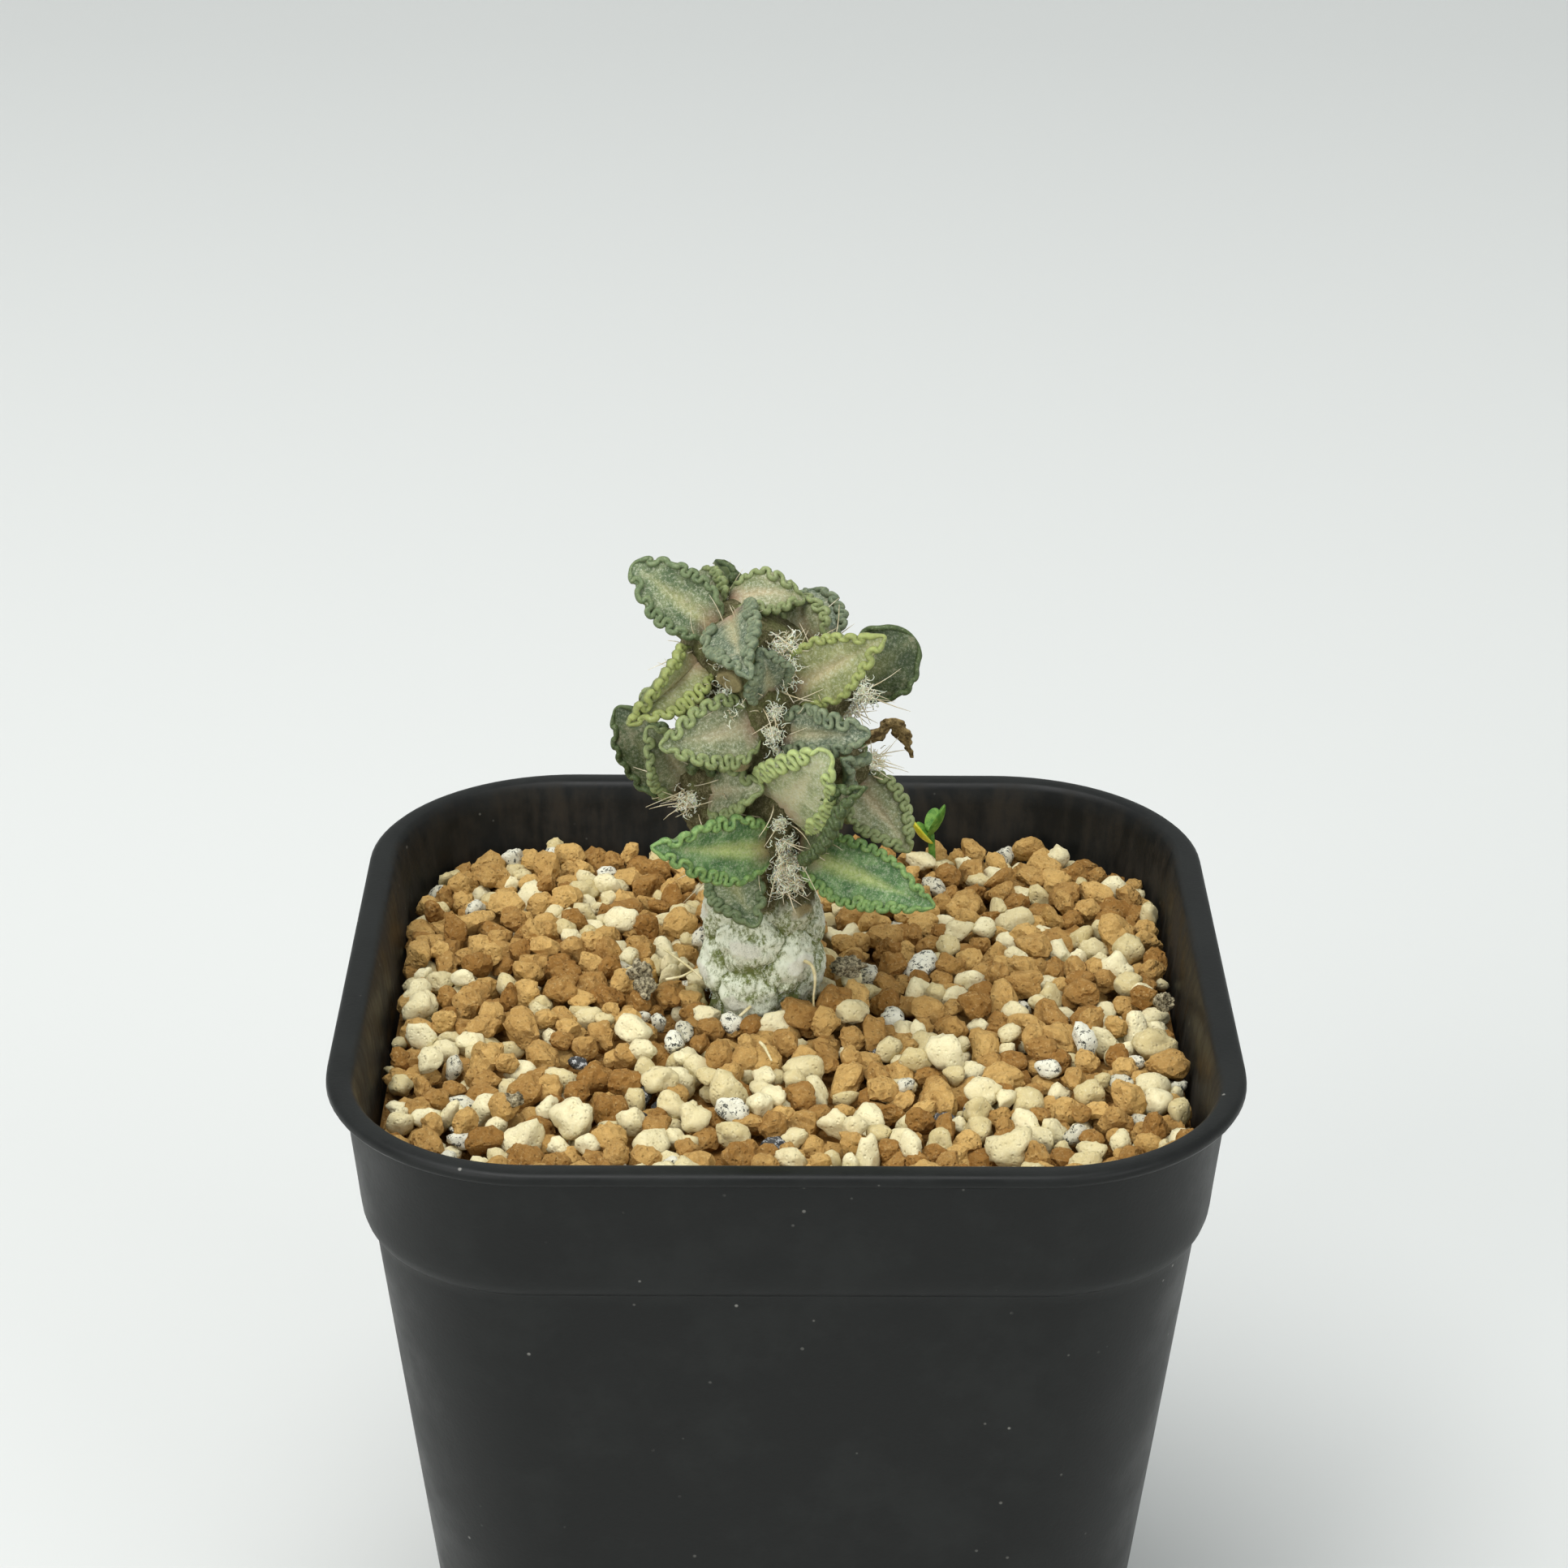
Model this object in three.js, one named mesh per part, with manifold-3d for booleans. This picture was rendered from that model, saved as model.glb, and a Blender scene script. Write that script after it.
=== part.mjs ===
// Potted Euphorbia tulearensis, in millimetres, +Z up, origin at the middle of the pot's underside.
// A square black nursery pot with rounded corners holds a bed of akadama and pumice granules.
// A short, thick, warty stem stands in a hole in the bed and carries crisped leaves, one mesh each.
import * as THREE from "three";
import { mergeVertices } from "three/addons/utils/BufferGeometryUtils.js";
import Module from "manifold-3d";

const wasm = await Module();
wasm.setup();

// Pot: outline half-widths and corner radii at the heights where the wall turns
const POT_HEIGHT = 75;
const RIM_HALF = 37.5;
const RIM_CORNER = 18;
const LIP_THICK = 1.2;
const COLLAR_TOP_HALF = 36.0;
const COLLAR_FOOT_HALF = 35.1;
const COLLAR_CORNER = 15;
const COLLAR_HEIGHT = 12.8;
const WALL_TOP_HALF = 34.0;
const WALL_FOOT_HALF = 27.5;
const WALL_CORNER = 14;
const WALL_THICK = 1.2;
const FLOOR_TOP = 2.8;
const FOOT_RECESS = 1.5;
const FOOT_RING = 3.5;
const DRAIN_RADIUS = 3.5;
const DRAIN_REACH = 14;
const CORNER_STEPS = 5;
const FINEST = 0.02;

// Bed: where its surface lies, and the granules that cover it
const GAP = 0.3;
const BED_TOP = 69.3;
const GRAIN_SPACING = 6.3;
const GRAIN_RADIUS = 3.4;
const GRAIN_SPREAD = 0.6;

// Stem: axis and girth by height over the rim, which is at POT_HEIGHT
const AXIS_HEIGHTS = [-20, -6, 10, 18, 26, 32];
const AXIS_X = [-2.2, -2.2, -1.8, -1.8, -3.0, -4.6];
const AXIS_Y = [3.5, 3.5, 3.5, 3.5, 3.4, 3.0];
const GIRTH_HEIGHTS = [-20, -6.5, -5, -2, 4, 8, 12, 17, 23, 27, 29.5, 31, 31.6];
const GIRTH = [4.7, 4.7, 4.5, 4.9, 4.4, 4.6, 5.7, 6.3, 6.2, 5.0, 3.6, 2.0, 0.4];
// Side shoots swell the stem at these turns and heights: rise over the girth, and breadth
const SHOOTS = [
  { turn: 5, height: 25, rise: 3.0, breadth: 3.5 },
  { turn: -28, height: 17.5, rise: 2.6, breadth: 3.2 },
  { turn: -160, height: 14, rise: 2.0, breadth: 3.2 },
  { turn: -75, height: 24, rise: 1.0, breadth: 2.5 },
  { turn: -78, height: 12.5, rise: 1.2, breadth: 2.5 },
  { turn: -138, height: 28.5, rise: 0.8, breadth: 2.2 },
];
const GOLDEN_TURN = 137.5;
const WART_COUNT = 40;
const WART_RISE = 0.9;
const WART_WIDTH = 1.7;
const WART_FROM = -4;
const WART_STEP = 0.85;
const SOCKET_RADIUS = 5.0;
const SPINE_LENGTH = 3.6;
const SPINE_RADIUS = 0.28;
const SPINES_PER_LEAF = 2;

// Leaves
const LEAF_THICK = 1.0;
const EDGE_THICK = 0.7;
const LEAF_GAP = 0.4;
const WAVE_LENGTH = 1.75;
const WAVE_RISE = 0.5;
const WAVE_OUT = 0.25;

// Each leaf: where it leaves the stem (turn in degrees, height over the rim), where its tip is
// (x, y, height over the rim), its width, its roll about its own length, its fold, and its arch.
const LEAVES = [
  { turn: -135, from: 30.0, tip: [-12.9, 3.1, 35.0], width: 5.3, roll: -60, fold: 12, arch: 0.4 },
  { turn: 105, from: 29.4, tip: [-5.8, 8.4, 33.2], width: 3.2, roll: 55, fold: 20, arch: 0.4 },
  { turn: 165, from: 30.6, tip: [-7.4, 7.0, 32.8], width: 4.2, roll: -40, fold: 20, arch: 0.4 },
  { turn: 120, from: 31.1, tip: [1.4, 3.9, 31.5], width: 5.0, roll: 42, fold: 8, arch: 1.2 },
  { turn: 0, from: 27.6, tip: [1.4, 6.4, 31.0], width: 4.8, roll: -55, fold: 10, arch: 0.5 },
  { turn: 22, from: 26.6, tip: [1.9, 10.5, 29.8], width: 4.6, roll: 0, fold: 12, arch: 0.5 },
  { turn: -84, from: 30.7, tip: [-2.8, -8.2, 30.5], width: 5.8, roll: 40, fold: 12, arch: 0.5 },
  { turn: -52, from: 25.2, tip: [7.8, -4.2, 31.4], width: 4.8, roll: 85, fold: 10, arch: 0.3 },
  { turn: -78, from: 25.6, tip: [-2.2, -5.2, 30.6], width: 3.8, roll: -140, fold: 12, arch: 0.3 },
  { turn: -90, from: 22.8, tip: [-10.4, -6.0, 22.4], width: 5.8, roll: -65, fold: 10, arch: 0.4 },
  { turn: -71, from: 22.2, tip: [6.6, -6.5, 23.4], width: 4.2, roll: 75, fold: 12, arch: 0.4 },
  { turn: -85, from: 15.6, tip: [2.6, -8.8, 21.5], width: 5.6, roll: 92, fold: 8, arch: 0.6 },
  { turn: -60, from: 11.6, tip: [5.8, -10.8, 19.6], width: 4.4, roll: 95, fold: 20, arch: 0.3 },
  { turn: -85, from: 11.4, tip: [-11.0, -8.9, 14.3], width: 5.2, roll: -86, fold: 10, arch: 0.4 },
  { turn: -52, from: 10.2, tip: [12.3, -6.0, 7.8], width: 5.2, roll: 60, fold: 10, arch: 0.6 },
  { turn: -145, from: 27.4, tip: [-13.2, -4.0, 23.6], width: 5.0, roll: -45, fold: 28, arch: 0.6 },
  { turn: -172, from: 14.2, tip: [-14.4, 3.4, 21.6], width: 6.0, roll: -90, fold: -12, arch: 0.6 },
  { turn: -163, from: 15.6, tip: [-11.5, -1.6, 22.0], width: 5.0, roll: -110, fold: 12, arch: 0.4 },
  { turn: -148, from: 18.1, tip: [-7.4, -5.1, 20.8], width: 2.2, roll: 180, fold: 25, arch: 0.2 },
  { turn: -138, from: 15.6, tip: [-2.4, -4.6, 17.8], width: 4.0, roll: 70, fold: 12, arch: 0.4 },
  { turn: -140, from: 7.6, tip: [-3.4, -4.4, 4.8], width: 4.2, roll: 30, fold: 12, arch: 0.6 },
  { turn: -20, from: 16.4, tip: [10.4, -2.0, 11.0], width: 4.8, roll: 45, fold: 14, arch: 0.6 },
  { turn: -32, from: 18.2, tip: [4.8, -7.6, 21.8], width: 3.0, roll: -120, fold: 25, arch: 0.2 },
  { turn: 2, from: 23.6, tip: [10.6, 4.0, 27.5], width: 6.2, roll: 70, fold: -12, arch: 0.6 },
  { turn: 37, from: 20.0, tip: [9.0, 11.6, 22.0], width: 5.2, roll: -30, fold: 12, arch: 0.6 },
  { turn: 76, from: 25.0, tip: [-1.0, 14.4, 27.4], width: 5.4, roll: 0, fold: 12, arch: 0.6 },
  { turn: 108, from: 20.6, tip: [-8.6, 13.6, 23.0], width: 5.6, roll: 45, fold: 12, arch: 0.6 },
  { turn: 146, from: 25.6, tip: [-10.6, 10.5, 27.0], width: 5.2, roll: 20, fold: 12, arch: 0.6 },
  { turn: 172, from: 20.4, tip: [-12.4, 8.2, 20.6], width: 5.0, roll: 25, fold: 12, arch: 0.6 },
  { turn: 135, from: 13.4, tip: [-11.2, 11.0, 15.0], width: 5.2, roll: 30, fold: 12, arch: 0.6 },
  { turn: 92, from: 14.6, tip: [-2.4, 15.0, 18.2], width: 5.6, roll: 10, fold: 12, arch: 0.6 },
  { turn: 36, from: 13.0, tip: [6.8, 11.6, 14.6], width: 5.2, roll: -35, fold: 12, arch: 0.6 },
  { turn: 80, from: 19.6, tip: [4.2, 14.4, 20.2], width: 5.2, roll: -35, fold: 12, arch: 0.6 },
  { turn: 104, from: 10.0, tip: [-9.4, 12.2, 8.6], width: 5.2, roll: 60, fold: 10, arch: 0.5 },
  { turn: 62, from: 9.6, tip: [8.0, 12.2, 7.8], width: 5.0, roll: -60, fold: 10, arch: 0.5 },
  { turn: 118, from: 27.6, tip: [-7.0, 12.4, 29.0], width: 4.8, roll: 15, fold: 12, arch: 0.5 },
];

// Withered leaf that hangs at the right, and the weed seedling at the back of the bed
const WITHERED_PATH = [[5.0, 2.2, 19.6], [7.2, 1.2, 20.0], [9.0, 0.6, 21.2], [10.0, 0.8, 20.2], [10.5, 1.0, 18.3]];
const WITHERED_HALF = [0.9, 0.4];
const SEEDLING_FOOT = [13.6, 31.0];
const SEEDLING_HEIGHT = 3.2;
const SEEDLING_RADIUS = 0.6;
const SEEDLING_DEPTH = 4;
const SEEDLING_LEAVES = [
  { turn: -20, rise: 40, length: 3.2, width: 2.0 },
  { turn: 200, rise: 10, length: 2.8, width: 1.7 },
  { turn: 80, rise: 55, length: 2.4, width: 1.5 },
  { turn: 140, rise: 25, length: 2.2, width: 1.4 },
];

const radians = THREE.MathUtils.degToRad;
const UP = new THREE.Vector3(0, 0, 1);

// Repeatable draws between 0 and 1
function draws(seed) {
  let state = seed;
  return () => {
    state = (state * 1664525 + 1013904223) % 4294967296;
    return state / 4294967296;
  };
}

// Straight-line reading of a table of values at rising stations
function along(stations, values, at) {
  const last = stations.length - 1;
  if (at <= stations[0]) return values[0];
  if (at >= stations[last]) return values[last];
  const i = stations.findIndex((s) => s >= at);
  const share = (at - stations[i - 1]) / (stations[i] - stations[i - 1]);
  return values[i - 1] + share * (values[i] - values[i - 1]);
}

// Closed three.js geometry to a solid, and back
function solidOf(geometry) {
  const bare = geometry.clone();
  bare.deleteAttribute("normal");
  bare.deleteAttribute("uv");
  const merged = mergeVertices(bare, 1e-4);
  return new wasm.Manifold(
    new wasm.Mesh({
      numProp: 3,
      vertProperties: new Float32Array(merged.attributes.position.array),
      triVerts: new Uint32Array(merged.index.array),
    }),
  );
}

function geometryOf(solid) {
  const mesh = solid.getMesh();
  return new THREE.BufferGeometry()
    .setAttribute("position", new THREE.BufferAttribute(mesh.vertProperties, 3))
    .setIndex(new THREE.BufferAttribute(mesh.triVerts, 1));
}

function largestOf(solid) {
  return solid.decompose().sort((a, b) => b.volume() - a.volume())[0];
}

// Solid skinned over rings of equal length, closed by a fan at each end
function loft(rings) {
  const count = rings[0].length;
  const positions = rings.flat(2);
  const index = [];
  for (let r = 0; r + 1 < rings.length; r++) {
    for (let i = 0; i < count; i++) {
      const a = r * count + i;
      const b = r * count + ((i + 1) % count);
      index.push(a, b, a + count, b, b + count, a + count);
    }
  }
  const middle = (ring) => [0, 1, 2].map((k) => ring.reduce((sum, p) => sum + p[k], 0) / count);
  const foot = positions.length / 3;
  positions.push(...middle(rings[0]), ...middle(rings.at(-1)));
  const top = (rings.length - 1) * count;
  for (let i = 0; i < count; i++) {
    index.push(foot, (i + 1) % count, i);
    index.push(foot + 1, top + i, top + ((i + 1) % count));
  }
  const geometry = new THREE.BufferGeometry();
  geometry.setAttribute("position", new THREE.Float32BufferAttribute(positions, 3));
  geometry.setIndex(index);
  return solidOf(geometry);
}

// Square outline with round corners, as a ring at one height
function squareRing(half, corner, z) {
  const ring = [];
  const signs = [[1, -1], [1, 1], [-1, 1], [-1, -1]];
  signs.forEach(([sx, sy], quarter) => {
    const [x, y] = [sx * (half - corner), sy * (half - corner)];
    const start = ((quarter - 1) * Math.PI) / 2;
    const arc = new THREE.EllipseCurve(x, y, corner, corner, start, start + Math.PI / 2);
    for (const p of arc.getPoints(CORNER_STEPS)) ring.push([p.x, p.y, z]);
  });
  return ring;
}

const wallTop = POT_HEIGHT - COLLAR_HEIGHT;
const wallHalf = (z) => WALL_FOOT_HALF + ((WALL_TOP_HALF - WALL_FOOT_HALF) * z) / wallTop;

// Inside of the pot, which the bed fills: half-width and corner at each height, from the floor up
const INSIDE = [
  [FLOOR_TOP, wallHalf(FLOOR_TOP) - WALL_THICK, WALL_CORNER - WALL_THICK],
  [wallTop - 0.3, wallHalf(wallTop - 0.3) - WALL_THICK, WALL_CORNER - WALL_THICK],
  [wallTop + 2.4, COLLAR_FOOT_HALF - WALL_THICK, COLLAR_CORNER - WALL_THICK],
  [POT_HEIGHT - LIP_THICK, COLLAR_TOP_HALF - WALL_THICK, COLLAR_CORNER - 0.6],
  [POT_HEIGHT + 0.5, COLLAR_TOP_HALF - 0.5, COLLAR_CORNER],
];

function makePot() {
  const outside = loft([
    squareRing(WALL_FOOT_HALF - 0.8, WALL_CORNER - 0.8, 0),
    squareRing(wallHalf(1), WALL_CORNER, 1),
    squareRing(WALL_TOP_HALF, WALL_CORNER, wallTop),
    squareRing(WALL_TOP_HALF + 0.5, WALL_CORNER + 0.3, wallTop + 0.1),
    squareRing(COLLAR_FOOT_HALF - 0.25, COLLAR_CORNER - 0.3, wallTop + 1.1),
    squareRing(COLLAR_FOOT_HALF, COLLAR_CORNER, wallTop + 2.8),
    squareRing(COLLAR_TOP_HALF, COLLAR_CORNER + 0.8, POT_HEIGHT - LIP_THICK),
    squareRing(RIM_HALF - 0.15, RIM_CORNER - 0.15, POT_HEIGHT - LIP_THICK + 0.1),
    squareRing(RIM_HALF, RIM_CORNER, POT_HEIGHT - 0.7),
    squareRing(RIM_HALF - 0.3, RIM_CORNER - 0.3, POT_HEIGHT),
  ]);
  const inside = loft(INSIDE.map(([z, half, corner]) => squareRing(half, corner, z)));
  const recessHalf = WALL_FOOT_HALF - FOOT_RING;
  const recess = loft([
    squareRing(recessHalf, WALL_CORNER - FOOT_RING, -1),
    squareRing(recessHalf, WALL_CORNER - FOOT_RING, FOOT_RECESS),
  ]);
  let pot = outside.subtract(inside).subtract(recess);
  const drains = [[0, 0], [1, 1], [-1, 1], [-1, -1], [1, -1]];
  for (const [sx, sy] of drains) {
    const drain = new THREE.CylinderGeometry(DRAIN_RADIUS, DRAIN_RADIUS, 4 * FLOOR_TOP, 12);
    drain.rotateX(Math.PI / 2).translate(sx * DRAIN_REACH, sy * DRAIN_REACH, 0);
    pot = pot.subtract(solidOf(drain));
  }
  return pot;
}

// Granules: chipped balls on a jittered staggered grid, sunk into the bed that they cover
function makeBed() {
  const [levels, halves, corners] = [0, 1, 2].map((k) => INSIDE.map((row) => row[k]));
  const heights = [FLOOR_TOP + GAP, wallTop - 0.3, wallTop + 2.4, BED_TOP];
  const bedHalf = (z) => along(levels, halves, z) - GAP;
  let bed = loft(heights.map((z) => squareRing(bedHalf(z), along(levels, corners, z) - GAP, z)));
  const draw = draws(7);
  const edge = bedHalf(BED_TOP) - GRAIN_RADIUS - 0.3;
  const corner = WALL_CORNER - GRAIN_RADIUS;
  const grains = [];
  const rows = Math.round((2 * edge) / (GRAIN_SPACING * Math.sin(Math.PI / 3)));
  const columns = Math.round((2 * edge) / GRAIN_SPACING);
  for (let row = 0; row <= rows; row++) {
    const y = edge * ((2 * row) / rows - 1);
    const odd = row % 2;
    for (let column = 0; column <= columns - odd; column++) {
      const x = edge * ((2 * column + odd) / columns - 1);
      const place = [x + draw() - 0.5, y + draw() - 0.5].map((v) => THREE.MathUtils.clamp(v, -edge, edge));
      const overX = Math.abs(place[0]) - (edge - corner);
      const overY = Math.abs(place[1]) - (edge - corner);
      const size = GRAIN_RADIUS + GRAIN_SPREAD * (draw() - 0.5);
      const turns = [draw(), draw()].map((d) => d * Math.PI);
      const lift = draw() * 0.8;
      if (overX > 0 && overY > 0 && Math.hypot(overX, overY) > corner) continue;
      const grain = new THREE.IcosahedronGeometry(size, 0);
      grain.scale(1.05, 0.95, 0.8).rotateX(turns[0]).rotateZ(turns[1]);
      grain.translate(place[0], place[1], BED_TOP - 1.2 + lift);
      grains.push(solidOf(grain));
    }
  }
  bed = bed.add(wasm.Manifold.union(grains));
  const depth = POT_HEIGHT + AXIS_HEIGHTS[0] - GAP;
  const socket = new THREE.CylinderGeometry(SOCKET_RADIUS, SOCKET_RADIUS, 40, 20);
  socket.rotateX(Math.PI / 2).translate(AXIS_X[0], AXIS_Y[0], depth + 20);
  const stem = makeStemBody(GAP);
  const pit = new THREE.CylinderGeometry(SEEDLING_RADIUS + GAP, SEEDLING_RADIUS + GAP, 20, 10);
  pit.rotateX(Math.PI / 2).translate(...SEEDLING_FOOT, BED_TOP - SEEDLING_DEPTH - GAP + 10);
  return largestOf(bed.subtract(solidOf(socket)).subtract(stem).subtract(solidOf(pit))).simplify(FINEST);
}

function axisAt(height) {
  return [along(AXIS_HEIGHTS, AXIS_X, height), along(AXIS_HEIGHTS, AXIS_Y, height)];
}

// Stem's surface round its axis: girth, warts in a golden spiral, and the side shoots
function stemRadius(turn, height) {
  const girth = along(GIRTH_HEIGHTS, GIRTH, height);
  let rise = 0;
  const bump = (bumpTurn, bumpHeight, high, wide) => {
    const aside = ((turn - bumpTurn + 36540) % 360) - 180;
    const arc = radians(aside) * girth;
    const distance = Math.hypot(arc, height - bumpHeight);
    rise = Math.max(rise, high * Math.exp(-((distance / wide) ** 2)));
  };
  for (let k = 0; k < WART_COUNT; k++) {
    bump(k * GOLDEN_TURN, WART_FROM + k * WART_STEP, WART_RISE, WART_WIDTH);
  }
  let shoot = 0;
  for (const { turn: toward, height: level, rise: swell, breadth } of SHOOTS) {
    const arc = radians(((turn - toward + 900) % 360) - 180) * girth;
    const away = Math.hypot(arc, height - level) / breadth;
    shoot = Math.max(shoot, swell * Math.exp(-(away ** 2)));
  }
  return girth + rise + shoot;
}

function makeStemBody(grown) {
  const around = 24;
  const rings = [];
  const bottom = GIRTH_HEIGHTS[0];
  const top = GIRTH_HEIGHTS.at(-1);
  const heights = [bottom, -14, -9];
  for (let h = -6; h < top - 1; h += 1.5) heights.push(h);
  heights.push(top);
  for (const height of heights) {
    const [x, y] = axisAt(height);
    const z = POT_HEIGHT + height + (height === top ? grown : 0) - (height === bottom ? grown : 0);
    const ring = [];
    for (let i = 0; i < around; i++) {
      const turn = (360 * i) / around;
      const radius = stemRadius(turn, height) + grown;
      ring.push([x + radius * Math.cos(radians(turn)), y + radius * Math.sin(radians(turn)), z]);
    }
    rings.push(ring);
  }
  return loft(rings);
}

// A leaf's own frame: its root, its direction, its face and its side
function leafFrame(leaf) {
  const [x, y] = axisAt(leaf.from);
  const radius = stemRadius(leaf.turn, leaf.from) - 0.9;
  const turn = radians(leaf.turn);
  const root = new THREE.Vector3(x + radius * Math.cos(turn), y + radius * Math.sin(turn), POT_HEIGHT + leaf.from);
  const tip = new THREE.Vector3(leaf.tip[0], leaf.tip[1], POT_HEIGHT + leaf.tip[2]);
  const length = root.distanceTo(tip);
  const ahead = tip.clone().sub(root).divideScalar(length);
  const face = UP.clone().addScaledVector(ahead, -ahead.z).normalize();
  face.applyAxisAngle(ahead, radians(leaf.roll));
  const side = new THREE.Vector3().crossVectors(ahead, face);
  return { root, ahead, face, side, length };
}

// Half-width along the leaf, as a share of the widest: slim foot, broad middle, sharp tip
function leafOutline(u) {
  return 0.05 + 0.22 * (1 - u) + 0.83 * Math.sin(Math.PI * u ** 0.78) ** 0.8;
}

// Blade with a crisped margin; both faces are split into triangles alike
function makeLeaf(leaf) {
  const { root, ahead, face, side, length } = leafFrame(leaf);
  const stations = 2 * Math.max(2, Math.round(length / WAVE_LENGTH));
  const across = [-1, -0.55, 0, 0.55, 1];
  const fold = radians(leaf.fold);
  const faces = [1, -1].map((sign) => {
    const grid = [];
    for (let i = 0; i <= stations; i++) {
      const u = i / stations;
      const half = (leaf.width / 2) * leafOutline(u);
      for (const v of across) {
        const margin = Math.abs(v) === 1 && i > 0 && i < stations ? 1 : 0;
        const wave = (i % 2 ? 1 : -1) * margin;
        const out = v * half * Math.cos(fold) + Math.sign(v) * wave * WAVE_OUT;
        const thick = LEAF_THICK + (EDGE_THICK - LEAF_THICK) * Math.abs(v);
        const rise = Math.abs(v) * half * Math.sin(fold) + wave * WAVE_RISE + leaf.arch * 4 * u * (1 - u);
        grid.push(
          root.clone()
            .addScaledVector(ahead, u * length)
            .addScaledVector(side, out)
            .addScaledVector(face, rise + (sign * thick) / 2),
        );
      }
    }
    return grid;
  });
  const positions = faces.flat().flatMap((p) => p.toArray());
  const columns = across.length;
  const lower = faces[0].length;
  const index = [];
  for (let i = 0; i < stations; i++) {
    for (let j = 0; j + 1 < columns; j++) {
      const a = i * columns + j;
      const [b, c, d] = [a + 1, a + columns, a + columns + 1];
      index.push(a, c, b, b, c, d);
      index.push(lower + a, lower + b, lower + c, lower + b, lower + d, lower + c);
    }
    const [near, far] = [i * columns, i * columns + columns - 1];
    index.push(near, lower + near, near + columns, lower + near, lower + near + columns, near + columns);
    index.push(far, far + columns, lower + far, lower + far, far + columns, lower + far + columns);
  }
  const end = stations * columns;
  for (let j = 0; j + 1 < columns; j++) {
    index.push(j, j + 1, lower + j, j + 1, lower + j + 1, lower + j);
    index.push(end + j, lower + end + j, end + j + 1, end + j + 1, lower + end + j, lower + end + j + 1);
  }
  const geometry = new THREE.BufferGeometry();
  geometry.setAttribute("position", new THREE.Float32BufferAttribute(positions, 3));
  geometry.setIndex(index);
  const solid = solidOf(geometry);
  return solid.volume() > 0 ? solid : solidOf(geometry.setIndex(index.toReversed()));
}

// Bristle spines at the foot of each leaf, three-sided; those that would meet a leaf are left out
function addSpines(body, leaves) {
  const draw = draws(21);
  const foliage = wasm.Manifold.union(leaves);
  let stem = body;
  for (const leaf of LEAVES) {
    for (let k = 0; k < SPINES_PER_LEAF; k++) {
      const turn = leaf.turn + (k ? 17 : -17) + 8 * (draw() - 0.5);
      const height = leaf.from + 2 * (draw() - 0.5);
      const lean = 30 * (draw() - 0.3);
      const length = SPINE_LENGTH * (0.8 + 0.4 * draw());
      const spine = new THREE.ConeGeometry(SPINE_RADIUS, length + 1, 3);
      spine.rotateZ(-Math.PI / 2).translate((length + 1) / 2, 0, 0);
      spine.rotateY(radians(-lean)).rotateZ(radians(turn));
      const [x, y] = axisAt(height);
      const radius = stemRadius(turn, height) - 1;
      const reach = [x + radius * Math.cos(radians(turn)), y + radius * Math.sin(radians(turn))];
      spine.translate(...reach, POT_HEIGHT + height);
      const solid = solidOf(spine);
      const guard = new THREE.CylinderGeometry(0.5, 0.7, length + 1.4, 6);
      guard.rotateZ(-Math.PI / 2).translate((length + 1) / 2, 0, 0);
      guard.rotateY(radians(-lean)).rotateZ(radians(turn));
      guard.translate(...reach, POT_HEIGHT + height);
      if (solidOf(guard).intersect(foliage).volume() > 0) continue;
      stem = stem.add(solid);
    }
  }
  return largestOf(stem);
}

// Withered leaf: a flat ribbon curled over, its root cut back from the stem
function makeWitheredLeaf() {
  const path = new THREE.CatmullRomCurve3(WITHERED_PATH.map(([x, y, z]) => new THREE.Vector3(x, y, POT_HEIGHT + z)));
  const section = new THREE.Shape();
  section.absellipse(0, 0, ...WITHERED_HALF, 0, 2 * Math.PI);
  const ribbon = new THREE.ExtrudeGeometry(section, { steps: 9, extrudePath: path, curveSegments: 3 });
  return solidOf(ribbon);
}

function makeSeedling() {
  const [x, y] = SEEDLING_FOOT;
  const whole = SEEDLING_HEIGHT + SEEDLING_DEPTH;
  const shoot = new THREE.CylinderGeometry(SEEDLING_RADIUS, SEEDLING_RADIUS, whole, 6);
  shoot.rotateX(Math.PI / 2).translate(x, y, BED_TOP - SEEDLING_DEPTH + whole / 2);
  let plant = solidOf(shoot);
  for (const { turn, rise, length, width } of SEEDLING_LEAVES) {
    const blade = new THREE.IcosahedronGeometry(0.5, 1);
    blade.scale(length, width, 0.9).translate(length / 2 - 0.3, 0, 0);
    blade.rotateY(radians(-rise)).rotateZ(radians(turn));
    blade.translate(x, y, BED_TOP + SEEDLING_HEIGHT - 0.3);
    plant = plant.add(solidOf(blade));
  }
  return largestOf(plant);
}

const plastic = new THREE.MeshStandardMaterial({ color: 0x232526, roughness: 0.45, metalness: 0 });
const granules = new THREE.MeshStandardMaterial({ color: 0xb98a55, roughness: 0.95, metalness: 0 });
const bark = new THREE.MeshStandardMaterial({ color: 0xb9bda4, roughness: 0.9, metalness: 0 });
const foliage = new THREE.MeshStandardMaterial({ color: 0x6f8761, roughness: 0.7, metalness: 0 });
const withered = new THREE.MeshStandardMaterial({ color: 0x7a5a33, roughness: 0.9, metalness: 0 });
const sprout = new THREE.MeshStandardMaterial({ color: 0x6fa042, roughness: 0.6, metalness: 0 });

const part = new THREE.Group();
function place(name, solid, material) {
  const mesh = new THREE.Mesh(geometryOf(solid), material);
  mesh.name = name;
  part.add(mesh);
}

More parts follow.
